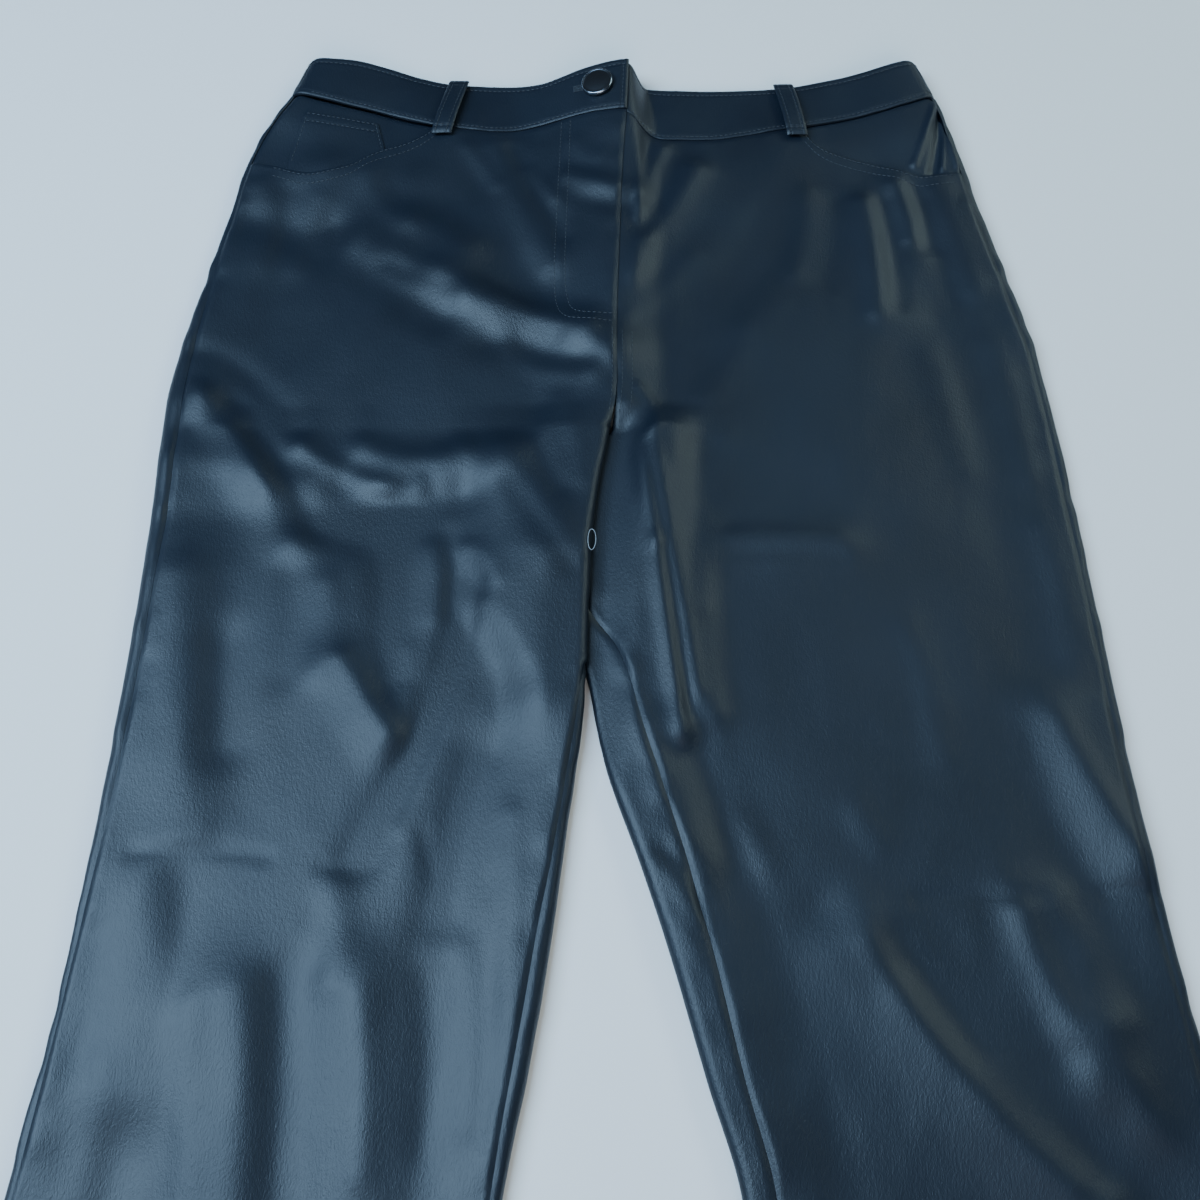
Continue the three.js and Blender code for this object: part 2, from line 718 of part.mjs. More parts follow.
// A closed wall between two sheets of rows.
function wall(outer, inner) {
  const wide = outer[0].length;
  const back = outer.length * wide;
  const points = [...outer.flat(), ...inner.flat()];
  const faces = [];
  const quad = (a, b, c, d) => faces.push(a, b, c, a, c, d);
  const at = (row, column) => row * wide + column;
  for (let r = 0; r < outer.length - 1; r += 1) {
    for (let c = 0; c < wide - 1; c += 1) {
      const [a, b, d, e] = [at(r, c), at(r, c + 1), at(r + 1, c + 1), at(r + 1, c)];
      quad(a, b, d, e);
      faces.push(back + a, back + d, back + b, back + a, back + e, back + d);
    }
    const ends = [at(r, 0), at(r + 1, 0), at(r, wide - 1), at(r + 1, wide - 1)];
    quad(ends[0], ends[1], back + ends[1], back + ends[0]);
    quad(ends[3], ends[2], back + ends[2], back + ends[3]);
  }
  const low = outer.length - 1;
  for (let c = 0; c < wide - 1; c += 1) {
    quad(at(0, c + 1), at(0, c), back + at(0, c), back + at(0, c + 1));
    quad(at(low, c), at(low, c + 1), back + at(low, c + 1), back + at(low, c));
  }
  return facingOut(points, faces);
}

// Turns every face round when the solid would be inside out.
function facingOut(points, faces) {
  let volume = 0;
  for (let i = 0; i < faces.length; i += 3) {
    const [a, b, c] = [points[faces[i]], points[faces[i + 1]], points[faces[i + 2]]];
    volume += a.dot(new THREE.Vector3().crossVectors(b, c));
  }
  if (volume < 0) faces.reverse();
  const geometry = new THREE.BufferGeometry().setFromPoints(points);
  geometry.setIndex(faces);
  geometry.computeVertexNormals();
  return geometry;
}

function material(name) {
  const metal = name === "button";
  return new THREE.MeshStandardMaterial({
    color: metal ? GUNMETAL : HIDE,
    metalness: metal ? 1 : 0,
    roughness: metal ? 0.35 : 0.4,
  });
}

const trousers = new THREE.Group();

function addPiece(name, geometry) {
  const mesh = new THREE.Mesh(geometry, material(name));
  mesh.name = name;
  trousers.add(mesh);
  return mesh;
}

// The turned-up hem is thicker than the panel.
function panelDepth(point) {
  return point.down > HEM - HEM_TURN - HEM_STEP / 2 ? HEM_CLOTH : CLOTH;
}

function frontTopEdge(leg) {
  const { bandSeam, scoop } = LEGS[leg];
  return (x) => Math.max(bandSeam(x) + SEAM_GAP, scoop(x));
}

const FRONT_WAYS = {
  left: { innerParts: 6, lap: LAP, flyReach: 42 },
  right: { innerParts: 7, lap: LAP, flyReach: 28, reachUnder: underlap },
};

// Fronts and backs
for (const leg of ["left", "right"]) {
  const frontRows = panelRows((down) => frontLine(leg, down, FRONT_WAYS[leg]), frontTopEdge(leg));
  addPiece(`front_${leg}`, wall(sheet(frontRows, 0), sheet(frontRows, panelDepth)));
  const backRows = panelRows((down) => backLine(leg, down), (x) => backSeam(x) + SEAM_GAP);
  addPiece(`back_${leg}`, wall(sheet(backRows, 0), sheet(backRows, panelDepth)));
}

// Waistband: two front pieces, the left lapped over the right, and one across the back.
const BAND_PARTS = 3;
const bandSheets = (rows) => wall(sheet(rows, -BAND_PROUD), sheet(rows, BAND_CLOTH - BAND_PROUD));

for (const leg of ["left", "right"]) {
  const way = { ...FRONT_WAYS[leg], lap: BAND_LAP, tail: leg === "right" ? BAND_TAIL : 0 };
  const line = (down) => frontLine(leg, down, way);
  const rows = stripRows(line, LEGS[leg].bandTop, LEGS[leg].bandSeam, BAND_PARTS);
  const band = bandSheets(rows);
  addPiece(`waistband_${leg}`, leg === "left" ? withButtonhole(band) : band);
}

function backBandRows() {
  const halves = ["left", "right"].map((leg) =>
    stripRows((down) => backLine(leg, down), backTop, backSeam, BAND_PARTS),
  );
  return halves[0].map((row, r) => [...row, ...halves[1][r].toReversed()]);
}

// The back band's face stays level with the table, and only its ends stand proud.
const proudEnd = (point) => BAND_PROUD * clamp(point.z / LAYERS, 0, 1);
const backBand = backBandRows();
addPiece(
  "waistband_back",
  wall(
    sheet(backBand, (point) => -proudEnd(point)),
    sheet(backBand, (point) => BAND_CLOTH - proudEnd(point)),
  ),
);

// Pocket facings, seen inside each scooped mouth
const FACING_COLUMNS = 10;
const FACING_PARTS = 5;
for (const leg of ["left", "right"]) {
  const { side, bandSeam } = LEGS[leg];
  const line = (down) => frontLine(leg, down, FRONT_WAYS[leg]).slice(0, FACING_COLUMNS);
  const mouth = frontTopEdge(leg);
  const [topEdge, lowEdge] = [(x) => bandSeam(x) + SEAM_GAP, (x) => mouth(x) + UNDER_FRONT];
  const rows = stripRows(line, topEdge, lowEdge, FACING_PARTS);
  const depth = (point) => {
    const inside = Math.abs(side(point.down)) - Math.abs(point.x);
    const sink = leg === "left" ? COIN_SINK * ease(clamp((inside - SINK_FROM) / SINK_WIDTH, 0, 1)) : 0;
    return FACING_DEPTH + sink;
  };
  addPiece(`pocket_facing_${leg}`, wall(sheet(rows, depth), sheet(rows, (point) => depth(point) + CLOTH)));
}

// Coin pocket, on the left facing
const coinOuter = curve(COIN, "outer");
const coinInner = curve(COIN, "inner");

const COIN_ACROSS = 5;
const COIN_PARTS = 4;
const COIN_UNDER = UNDER_FRONT - 2; // how far the coin pocket runs on under the front panel

function coinLine(down) {
  const cut = section("left", down);
  return Array.from({ length: COIN_ACROSS + 1 }, (_, i) => {
    const away = -mix(coinOuter(down), coinInner(down), i / COIN_ACROSS);
    const [na, nz] = intoFace(cut.top, away);
    return { x: -away, z: cut.top(away), nx: -na, nz };
  });
}

function coinTop(x) {
  const t = (x - COIN.outer[0]) / (COIN.inner[0] - COIN.outer[0]);
  return mix(COIN_TOP.outer, COIN_TOP.inner, t);
}

const mouthLeft = frontTopEdge("left");
const coinRows = stripRows(coinLine, coinTop, (x) => mouthLeft(x) + COIN_UNDER, COIN_PARTS);
addPiece("coin_pocket", wall(sheet(coinRows, COIN_DEPTH), sheet(coinRows, COIN_DEPTH + COIN_CLOTH)));

// Belt loops, standing clear of the band between their sewn ends
const LOOP_PARTS = 9;
const LOOP_START = 0.5; // from the band's top edge to the loop
LOOPS.leg.forEach((leg, i) => {
  const { bandTop, bandSeam } = LEGS[leg];
  const [topX, lowX] = [LOOPS.topX[i], LOOPS.lowX[i]];
  const [from, to] = [bandTop(topX) + LOOP_START, bandSeam(lowX) + LOOP_TAIL];
  const rows = Array.from({ length: LOOP_PARTS + 1 }, (_, row) => {
    const t = row / LOOP_PARTS;
    const down = mix(from, to, t);
    const lift = BAND_PROUD + SEAM_GAP + LOOP_CLOTH + LOOP_BULGE * Math.sin(Math.PI * t) ** LOOP_BEND;
    return [-0.5, 0, 0.5].map((across) => {
      const x = mix(topX, lowX, t) + across * LOOP_WIDTH;
      return { down, x, z: face(leg, x, down, LAP) + lift, nx: 0, nz: -1 };
    });
  });
  addPiece(`belt_loop_${leg}`, wall(sheet(rows, 0), sheet(rows, LOOP_CLOTH)));
});

// The frame that the button sits in: its place on the band's face, with +Y out of the cloth.
function buttonFrame() {
  const step = 2;
  const { x, down } = BUTTON;
  const slopeX = (leftFace(x + step, down) - leftFace(x - step, down)) / (2 * step);
  const slopeY = (leftFace(x, down - step) - leftFace(x, down + step)) / (2 * step);
  const out = new THREE.Vector3(-slopeX, -slopeY, 1).normalize();
  const along = new THREE.Vector3(1, 0, slopeX).normalize();
  const across = new THREE.Vector3().crossVectors(along, out);
  const foot = new THREE.Vector3(x, heightToY(down), leftFace(x, down)).addScaledVector(out, BAND_PROUD);
  return new THREE.Matrix4().makeBasis(along, out, across).setPosition(foot);
}

function solidFrom(geometry) {
  const bare = geometry.clone();
  bare.deleteAttribute("normal");
  bare.deleteAttribute("uv");
  const merged = mergeVertices(bare, 1e-4);
  const vertProperties = merged.attributes.position.array;
  return new wasm.Manifold(
    new wasm.Mesh({ numProp: 3, vertProperties, triVerts: new Uint32Array(merged.index.array) }),
  );
}

// Cuts the keyhole that the button's shank stands in.
function withButtonhole(band) {
  const { hole, slit, slitLength } = BUTTON;
  const start = Math.asin(slit / 2 / hole);
  const outline = new THREE.Shape();
  outline.moveTo(-slitLength, -slit / 2);
  outline.absarc(0, 0, hole, Math.PI + start, 3 * Math.PI - start, false);
  outline.lineTo(-slitLength, slit / 2);
  outline.closePath();
  const depth = 2 * BAND_CLOTH;
  const cutter = new THREE.ExtrudeGeometry(outline, { depth, bevelEnabled: false, curveSegments: 10 });
  cutter.translate(0, 0, -depth / 2 - BAND_CLOTH / 2);
  cutter.rotateX(-Math.PI / 2);
  cutter.applyMatrix4(buttonFrame());
  const mesh = solidFrom(band).subtract(solidFrom(cutter)).getMesh();
  const cut = new THREE.BufferGeometry();
  cut.setAttribute("position", new THREE.BufferAttribute(mesh.vertProperties, 3));
  cut.setIndex(new THREE.BufferAttribute(mesh.triVerts, 1));
  cut.computeVertexNormals();
  return cut;
}

const BUTTON_SIDES = 28;
const outline = BUTTON_OUTLINE.radius.map((r, i) => new THREE.Vector2(r, BUTTON_OUTLINE.height[i]));
const button = addPiece("button", new THREE.LatheGeometry(outline, BUTTON_SIDES));
button.applyMatrix4(buttonFrame());

export default trousers;
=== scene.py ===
# %% [markdown]
# Leather trousers laid flat.
# The garment is a flat double layer of leather: two fronts, two backs, a folded waistband and
# small pieces sewn on them. The frame gives the plain solids. This file dresses each one with a
# finer shell of the same form, then adds the sewing, the leather's grain, the lights and the camera.

# %% Load the frame
import math

import bmesh
import bpy
import numpy as np
from mathutils import Matrix, Vector
from mathutils.bvhtree import BVHTree


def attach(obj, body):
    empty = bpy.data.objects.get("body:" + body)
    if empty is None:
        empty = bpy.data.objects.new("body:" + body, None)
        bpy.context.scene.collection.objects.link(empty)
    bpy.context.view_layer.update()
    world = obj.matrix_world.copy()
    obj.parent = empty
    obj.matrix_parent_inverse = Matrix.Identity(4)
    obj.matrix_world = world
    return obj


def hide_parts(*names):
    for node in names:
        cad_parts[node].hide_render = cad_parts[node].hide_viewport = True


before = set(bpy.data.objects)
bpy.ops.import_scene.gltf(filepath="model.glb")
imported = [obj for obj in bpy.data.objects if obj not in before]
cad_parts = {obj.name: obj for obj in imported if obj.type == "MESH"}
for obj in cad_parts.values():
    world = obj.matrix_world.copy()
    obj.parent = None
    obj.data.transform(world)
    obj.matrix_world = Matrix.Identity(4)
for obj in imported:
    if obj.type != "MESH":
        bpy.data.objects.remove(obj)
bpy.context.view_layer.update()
MM = 0.001

# %% [markdown]
# Sizes come first. "Down" is measured towards the hem from a level line 8 mm below the waistband's
# side ends, in millimetres, and x runs to the right. The same short tables rule the plain solids,
# so the shells lie where the solids lie.

# %% Driving sizes, in millimetres
LENGTH = 1045
BAND_END = -8
HEM = BAND_END + LENGTH
CROTCH = 266
YOKE = 250  # down to here a row crosses the hips as one
SLIDE = 170  # above here the rows follow the top edge
CLOTH = 1.2
BAND_CLOTH = 2.0
BAND_PROUD = 0.5
HEM_TURN = 25
HEM_CLOTH = 2.2
LAYERS = 3.2  # the lowest height of a front's face over a back
LAP = 1.6  # how much lower the right front lies at the fly
BAND_LAP = 2.4
BAND_TAIL = 26
UNDER_LEG = 5.3  # the height of the right thigh where the left leg lies on it
LEG_CLEAR = 6
ROLL = 0.62  # a folded edge's reach, as a share of its height
SEAM_GAP = 0.16
FACING_DEPTH = 1.6
UNDER_FRONT = 8  # how far a facing reaches on under its front
COIN_SINK = 1.3
COIN_DEPTH = 1.5
COIN_CLOTH = 1.0


def columns(names, text):
    """Turns lines of numbers into one list for each named column."""
    rows = [map(float, line.split()) for line in text.strip().split("\n")]
    return dict(zip(names.split(), map(list, zip(*rows))))


# %% The garment's outline and the heights of its folded edges
SIDES = columns("down left right seamLeft seamRight", """
-8 -194 194 3 3
22 -203.5 203.5 3 3
39 -212 208 3 3
55 -219 211 3 4
72 -224 215 3 4
104 -229.5 220 3 4
142 -236 227.5 4 5
179 -241.5 234 6 5
214 -247 240 8.5 5
248 -249.5 243 10 5
312 -247.5 246 9.5 5
371 -246.5 248 8 5
476 -248 250.5 6 5
568 -252 257 3 5
649 -260 266 4.5 5
800 -274 278 5 5
1037 -295 295 5 5
""")

# The fly's edge, then the centre front seam, then the left leg's inner edge
CREST = columns("down x top reachLeft reachRight", """
-8 10.7 23 74 9
40 8.5 18.5 74 20
72 6.2 15 72 24
127 3.9 12.5 66 28
197 1.7 11.5 58 30
235 1.5 12 56 32
250 0.6 12.5 55 34
266 -2.2 13 54 34
280 -4.5 13 52 34
299 -8 13 50 34
336 -12.2 13 48 34
418 -15.2 13 46 34
462 -19.7 11.5 44 34
504 -25.4 10.5 42 34
546 -30.8 10 42 34
602 -40 9.5 42 34
649 -49.2 9.5 42 34
800 -64 9 42 34
1037 -88 9.5 50 34
""")

# The right leg's inner edge, and where both inseams run: plus is on top of the edge, minus under it
INSEAMS = columns("down rightEdge left right", """
266 -1.8 0 0
280 -20 -6 5
299 -31 -9 11
336 -39 -8 17
368 -36 -5 20
397 -20.5 -2 21
418 -13.5 1.8 21.5
440 -9.5 3 23
462 -4.5 4 25
504 10 5 22.5
546 23.3 7.5 20
602 38.8 7.3 16.5
649 52.1 5 14.3
800 67 5 10
1037 90 5 8
""")

# How the left leg's underside climbs over the right thigh
CLIMB = columns("down from full height", """
250 -60 -30 0
266 -64 -34 5.7
280 -74 -44 5.7
299 -84 -56 5.7
368 -86 -58 5.7
397 -72 -44 5.7
418 -62 -34 5.7
440 -60 -32 2.8
462 -60 -30 0
""")

EDGES = columns("down left right reachLeft reachRight inner innerReach middle", """
-8 14 13.5 108 92 8 30 0.6
40 13 12.5 96 84 8 30 1
100 11 10.5 72 66 8 30 1.2
170 10 10 58 54 9 30 1.4
266 10 9.5 54 50 9.5 30 1.5
418 10 9.5 52 48 10 34 1.5
504 10 9.5 52 48 10 40 1.5
649 9.5 9 50 48 9 42 1.5
880 9 9 50 48 8.5 44 1.8
1037 10.5 10.5 70 70 10.5 60 7
""")

# %% The waistband's edges and the scooped pocket mouths
BAND_FRONT_LEFT = columns("x top seam", """
-202 -8 22
-190 -8 24
-170 -8 28
-146 -5 32
-123 1 38
-97 5.5 44
-72 7 46
-46 6 42.5
-21 3 39.5
11 0.5 38.5
""")
BAND_FRONT_RIGHT = columns("x top seam", """
-30 4 39.5
8 2 39.5
12 3 41
18 7 46
25 8.5 49.5
34 9.5 51.5
55 10 51.5
94 9 47
132 5 40
158 1 35.5
185 -6 29
200 -8 24
""")
BAND_BACK = columns("x top seam", """
-202 -8 22
-150 -3 33
-90 8 46
0 9 47
90 10 48
150 -1 35
202 -8 24
""")
SCOOP_LEFT = columns("x down", """
-230 75
-207 80
-186 85
-163 78
-146 65
-129 57
-110 42
-100 20
""")
SCOOP_RIGHT = columns("x down", """
112 20
120 49
129 60
142 67
158 73
174 79
190 85
222 83
""")
UNDERLAP = columns("down reach", """
40 12
190 12
208 4
232 4
250 -0.4
""")
LOOPS = {"left": (-97.5, -106.5), "right": (108.5, 114.5)}  # each loop's x at its top and its low end
COIN = columns("down outer inner", """
36 -191.5 -148
72 -198.5 -139
""")
COIN_TOP = {"outer": 36.5, "inner": 40}

# %% [markdown]
# Folds make laid leather look real. Each line is one soft fold: its height (minus for a trough),
# its half width, and three points that it runs through. The large ones are those of the solids.
# The small ones sharpen the creases that catch the light.

# %% The folds
FOLD_HEADS = "height width x1 down1 x2 down2 x3 down3"
LARGE_FOLDS = {
    "left": columns(FOLD_HEADS, """
3.4 20 -190 50 -150 56 -104 50
4 22 -175 84 -134 115 -94 144
-2.6 10 -218 120 -160 143 -100 186
4.6 11 -151 134 -72 181 -6 213
-2.4 14 -134 98 -84 128 -36 188
2.4 8 -72 60 -56 108 -37 150
1.6 8 -27 100 -12 99 0 99
4 10 -228 250 -197 290 -169 332
2.6 12 -236 312 -206 314 -178 308
3.2 9 -172 279 -122 306 -64 281
-3 10 -169 322 -142 326 -116 322
-2.8 9 -118 330 -114 370 -111 413
2.6 11 -66 284 -46 312 -28 341
2.6 13 -42 346 -42 385 -42 425
3.6 13 -224 359 -215 420 -206 489
-2 9 -200 394 -197 420 -193 448
2.4 9 -141 405 -128 424 -114 444
-3 8 -77 364 -88 424 -121 502
-2.4 8 -68 453 -77 492 -83 530
3 14 -217 520 -214 560 -214 604
4 16 -178 568 -172 630 -170 720
-2.4 10 -150 560 -146 620 -142 700
4 14 -116 560 -112 620 -112 730
3.4 20 -212 760 -214 840 -222 930
3.6 20 -142 800 -148 880 -152 970
"""),
    "right": columns(FOLD_HEADS, """
2.8 20 184 52 150 54 110 50
2.4 6 30 62 23 88 17 112
3 9 50 80 32 118 8 160
-1.6 14 96 122 78 156 56 176
2.2 11 155 108 155 146 160 186
1.8 9 171 90 178 116 181 146
3.6 6 8 262 22 330 33 440
3.2 7 30 262 36 330 47 430
1.8 9 60 338 90 336 121 338
3.6 12 214 430 226 468 244 506
3 12 184 528 193 564 210 602
4 14 114 542 144 594 196 656
2.6 11 214 580 222 598 230 620
3.4 20 128 760 140 850 152 950
3.4 18 214 720 216 800 226 900
"""),
}
SMALL_FOLDS = {
    "left": columns(FOLD_HEADS, """
0.9 4 -90 60 -80 76 -72 90
0.9 4 -52 80 -44 90 -36 101
-0.9 4 -62 62 -48 92 -30 132
-2 9 -166 126 -144 136 -118 150
-1.8 13 -162 120 -142 126 -118 138
-2.2 13 -204 58 -184 62 -168 64
2 12 -168 78 -146 82 -122 88
2.2 9 -118 116 -104 126 -88 138
3 7 -84 176 -52 187 -16 198
-1.6 7 -72 206 -48 213 -22 219
-1.2 5 -132 150 -84 176 -34 204
1.5 4.5 -28 86 -14 92 1 99
-1.1 5 -28 100 -12 107 1 110
0.8 5 -24 62 -18 70 -10 74
1.2 4 -230 244 -204 276 -186 305
-1.3 5 -214 248 -186 284 -160 328
1.2 4 -172 277 -148 292 -124 302
-1 4 -112 299 -104 293 -98 304
3 7 -136 278 -110 286 -84 280
-2.6 8 -146 304 -116 313 -86 306
-1.8 8 -178 284 -164 290 -148 296
2.4 9 -238 286 -216 288 -200 292
-2.4 10 -238 316 -208 318 -182 314
-1.1 5 -58 300 -42 325 -24 352
1 5 -96 340 -92 358 -92 378
1 4 -79 339 -70 344 -63 359
-1 4 -90 330 -84 352 -82 372
0.9 4 -107 396 -105 406 -106 418
1.1 4 -138 402 -126 420 -112 441
-0.8 2.4 -228 502 -196 500 -165 503
-0.7 2.2 -140 507 -128 508 -117 507
-1.2 4 -77 366 -90 421 -120 500
1 4 -70 372 -80 424 -104 488
-0.9 3.5 -70 456 -79 500 -84 528
-0.7 3 -92 492 -88 506 -83 512
1 5 -50 484 -48 560 -50 628
1.4 8 -168 566 -160 610 -158 656
0.9 5 -116 566 -112 600 -110 640
-1 6 -238 540 -236 560 -237 592
0.8 5 -192 570 -188 610 -184 660
0.8 3 -243 306 -240 312 -244 319
1.2 7 -214 96 -206 122 -204 150
0.9 6 -176 104 -184 126 -190 152
-0.9 6 -196 100 -196 124 -198 150
1 6 -150 84 -140 104 -124 120
-0.9 5 -240 214 -210 226 -176 262
0.8 5 -60 212 -40 226 -14 232
-0.8 4.5 -54 204 -34 214 -10 222
0.9 5 -30 250 -22 270 -18 300
-0.9 5 -46 262 -40 286 -30 306
0.9 6 -150 360 -146 384 -150 410
-0.8 6 -170 352 -166 380 -168 410
1 6 -132 520 -128 540 -130 560
-0.9 6 -206 510 -200 540 -198 566
0.9 6 -228 596 -226 620 -228 650
-0.8 5 -86 560 -84 590 -84 630
0.8 5 -70 548 -66 580 -66 620
"""),
    "right": columns(FOLD_HEADS, """
1.1 3 12 46 15 80 14 119
1 3.4 29 62 22 86 16 108
-1 3.4 22 52 20 84 17 104
1 4 50 78 34 112 20 136
0.8 5 45 145 27 170 8 188
1.7 5 152 104 154 140 152 186
-1.5 5 163 104 166 140 165 180
1.4 4 172 92 176 112 177 132
-1.3 5 185 96 188 116 188 138
1.3 3 7 254 15 290 22 338
1.2 3 22 338 28 400 33 445
1.3 3 14 240 24 258 20 270
1.2 3 20 268 30 330 41 420
-1.4 3 12 262 23 330 36 430
1 5 50 322 48 346 46 374
0.6 3.4 62 332 90 331 118 333
-0.6 3 60 343 90 342 120 344
0.7 4 41 268 50 267 61 269
-0.8 2.4 140 523 168 521 198 522
-0.8 2.4 226 521 236 520 246 521
1 5 218 436 230 470 244 500
1 5 187 530 194 560 208 596
1.2 5 116 544 146 594 190 644
-1.1 6 128 540 160 590 204 640
1 4 2 394 12 434 21 474
0.8 4 17 506 27 518 35 532
2 8 22 440 30 470 40 504
2.4 8 204 524 212 545 222 576
-1.6 8 176 530 184 560 196 590
1.2 6 168 600 186 624 206 650
-0.8 3.5 22 500 34 512 42 528
0.8 3.5 27 533 31 540 36 550
1 6 215 582 222 598 228 616
-1.6 9 96 528 106 538 120 552
0.9 6 60 488 64 496 70 506
0.9 6 116 480 120 488 124 496
1 5 118 96 114 126 106 158
-0.8 5 136 100 132 130 124 164
1 6 196 96 204 130 210 172
-0.7 5 186 104 192 140 198 176
0.8 6 214 210 220 250 224 296
-0.8 6 232 230 234 270 236 310
0.9 7 226 330 232 366 234 404
0.8 7 180 214 186 252 190 290
0.9 7 76 196 66 222 52 244
0.8 6 150 384 158 418 160 452
"""),
}

# %% [markdown]
# The helpers below turn the tables into smooth functions. They work on whole arrays at once, so a
# shell of tens of thousands of points takes a second or two.

# %% Smooth curves through a table


def mix(a, b, t):
    return a + (b - a) * t


def ease(t):
    return t * t * (3 - 2 * t)


def ramp(value, start, length):
    """Eases from 0 at a start to 1 a length further on."""
    return ease(np.clip((value - start) / length, 0, 1))


def bell(distance, width):
    return np.exp(-((distance / width) ** 2))


def curve(table, value, along="down"):
    """A smooth curve through a table's points that never swings past them."""
    xs = np.array(table[along], float)
    ys = np.array(table[value], float)
    slopes = np.diff(ys) / np.diff(xs)
    before = np.concatenate([slopes[:1], slopes])
    after = np.concatenate([slopes, slopes[-1:]])
    total = np.where(before * after > 0, before + after, 1.0)
    leans = np.where(before * after > 0, 2 * before * after / total, 0.0)

    def read(at):
        x = np.clip(at, xs[0], xs[-1])
        i = np.clip(np.searchsorted(xs, x, side="left") - 1, 0, len(xs) - 2)
        step = xs[i + 1] - xs[i]
        t = (x - xs[i]) / step
        bend = t * (1 - t) * step * (leans[i] * (1 - t) - leans[i + 1] * t)
        return mix(ys[i], ys[i + 1], ease(t)) + bend

    return read


crest_x = curve(CREST, "x")
crest_top = curve(CREST, "top")
crest_left = curve(CREST, "reachLeft")
crest_right = curve(CREST, "reachRight")
climb_from = curve(CLIMB, "from")
climb_full = curve(CLIMB, "full")
climb_height = curve(CLIMB, "height")
inner_top = curve(EDGES, "inner")
inner_reach = curve(EDGES, "innerReach")
middle_loft = curve(EDGES, "middle")
right_edge = curve(INSEAMS, "rightEdge")
underlap = curve(UNDERLAP, "reach")
back_top = curve(BAND_BACK, "top", "x")
back_seam = curve(BAND_BACK, "seam", "x")


def leg_curves(leg, sign, inner, band, scoop):
    """The curves that shape one leg, from the columns that carry its name."""
    return {
        "sign": sign,
        "side": curve(SIDES, leg),
        "side_seam": curve(SIDES, f"seam{leg.title()}"),
        "side_top": curve(EDGES, leg),
        "side_reach": curve(EDGES, f"reach{leg.title()}"),
        "inseam": curve(INSEAMS, leg),
        "inner": inner,
        "band_top": curve(band, "top", "x"),
        "band_seam": curve(band, "seam", "x"),
        "scoop": curve(scoop, "down", "x"),
    }


LEGS = {
    "left": leg_curves("left", -1, crest_x, BAND_FRONT_LEFT, SCOOP_LEFT),
    "right": leg_curves("right", 1, right_edge, BAND_FRONT_RIGHT, SCOOP_RIGHT),
}


def height_to_y(down):
    return LENGTH / 2 + BAND_END - down


# %% Folds and wrinkles
FOLD_STEPS = 8
FOLD_REACH = 4  # half widths, beyond which a fold adds nothing


def fold_lines(table):
    """Each fold as its height, its width and the short steps of its curve."""
    lines = []
    steps = np.linspace(0, 1, FOLD_STEPS + 1)
    for height, width, x1, down1, x2, down2, x3, down3 in zip(*table.values()):
        ends = []
        for start, through, end in ((x1, x2, x3), (down1, down2, down3)):
            pull = 2 * through - (start + end) / 2
            ends.append(mix(mix(start, pull, steps), mix(pull, end, steps), steps))
        lines.append((height, width, *ends))
    return lines


FOLD_LINES = {leg: fold_lines(LARGE_FOLDS[leg]) + fold_lines(SMALL_FOLDS[leg]) for leg in LEGS}
print("folds", {leg: len(lines) for leg, lines in FOLD_LINES.items()})


def near_square(x, down, xs, downs):
    """The squared distance of each point to a line of points."""
    near = np.full(np.shape(x), np.inf)
    for k in range(len(xs) - 1):
        run_x, run_d = xs[k + 1] - xs[k], downs[k + 1] - downs[k]
        t = np.clip(((x - xs[k]) * run_x + (down - downs[k]) * run_d) / (run_x**2 + run_d**2), 0, 1)
        near = np.minimum(near, (x - xs[k] - t * run_x) ** 2 + (down - downs[k] - t * run_d) ** 2)
    return near


def folds(leg, x, down):
    """The height that one leg's folds add."""
    x, down = np.broadcast_arrays(np.asarray(x, float), np.asarray(down, float))
    total = np.zeros(x.shape)
    for height, width, xs, downs in FOLD_LINES[leg]:
        reach = FOLD_REACH * width
        across = (x > xs.min() - reach) & (x < xs.max() + reach)
        close = across & (down > downs.min() - reach) & (down < downs.max() + reach)
        if close.any():
            near = near_square(x[close], down[close], xs, downs)
            total[close] += height * np.exp(-near / (2 * width**2))
    return total


WRINKLE_SEED = 11
WRINKLE_CELLS = 64
WRINKLE_SHIFTS = (7.3, 3.1)
lattice = np.random.default_rng(WRINKLE_SEED).uniform(-1, 1, (WRINKLE_CELLS, WRINKLE_CELLS))


def wrinkle(u, v):
    """Smooth noise from -1 to 1 on a lattice of unit cells."""
    iu, iv = np.floor(u).astype(int), np.floor(v).astype(int)
    fu, fv = ease(u - iu), ease(v - iv)
    at = lambda a, b: lattice[(iu + a) % WRINKLE_CELLS, (iv + b) % WRINKLE_CELLS]
    return mix(mix(at(0, 0), at(1, 0), fu), mix(at(0, 1), at(1, 1), fu), fv)


# Soft unevenness of the cloth: size of a patch across and down, and its height
WRINKLES = columns("across down height", """
46 70 0.7
19 30 0.32
8 13 0.1
""")


def unevenness(x, down, shift):
    total = np.zeros(np.broadcast(x, down).shape)
    for i, (across, along, height) in enumerate(zip(*WRINKLES.values())):
        u = x / across + shift + WRINKLE_SHIFTS[0] * i
        total = total + height * wrinkle(u, down / along + WRINKLE_SHIFTS[1] * i)
    return total


# %% The faces of both fronts
SOFTNESS = 0.8
RIGHT_SHIFT = 31  # where the right leg reads its wrinkles
CREST_CALM = 12
HUMP = 20
RIDGE = 14


def fall(distance, reach):
    return np.cos(np.pi / 2 * np.clip(distance / reach, 0, 1)) ** 2


def soft(value):
    """The value itself when it is large, and never less than nothing."""
    return (value + np.hypot(value, SOFTNESS)) / 2


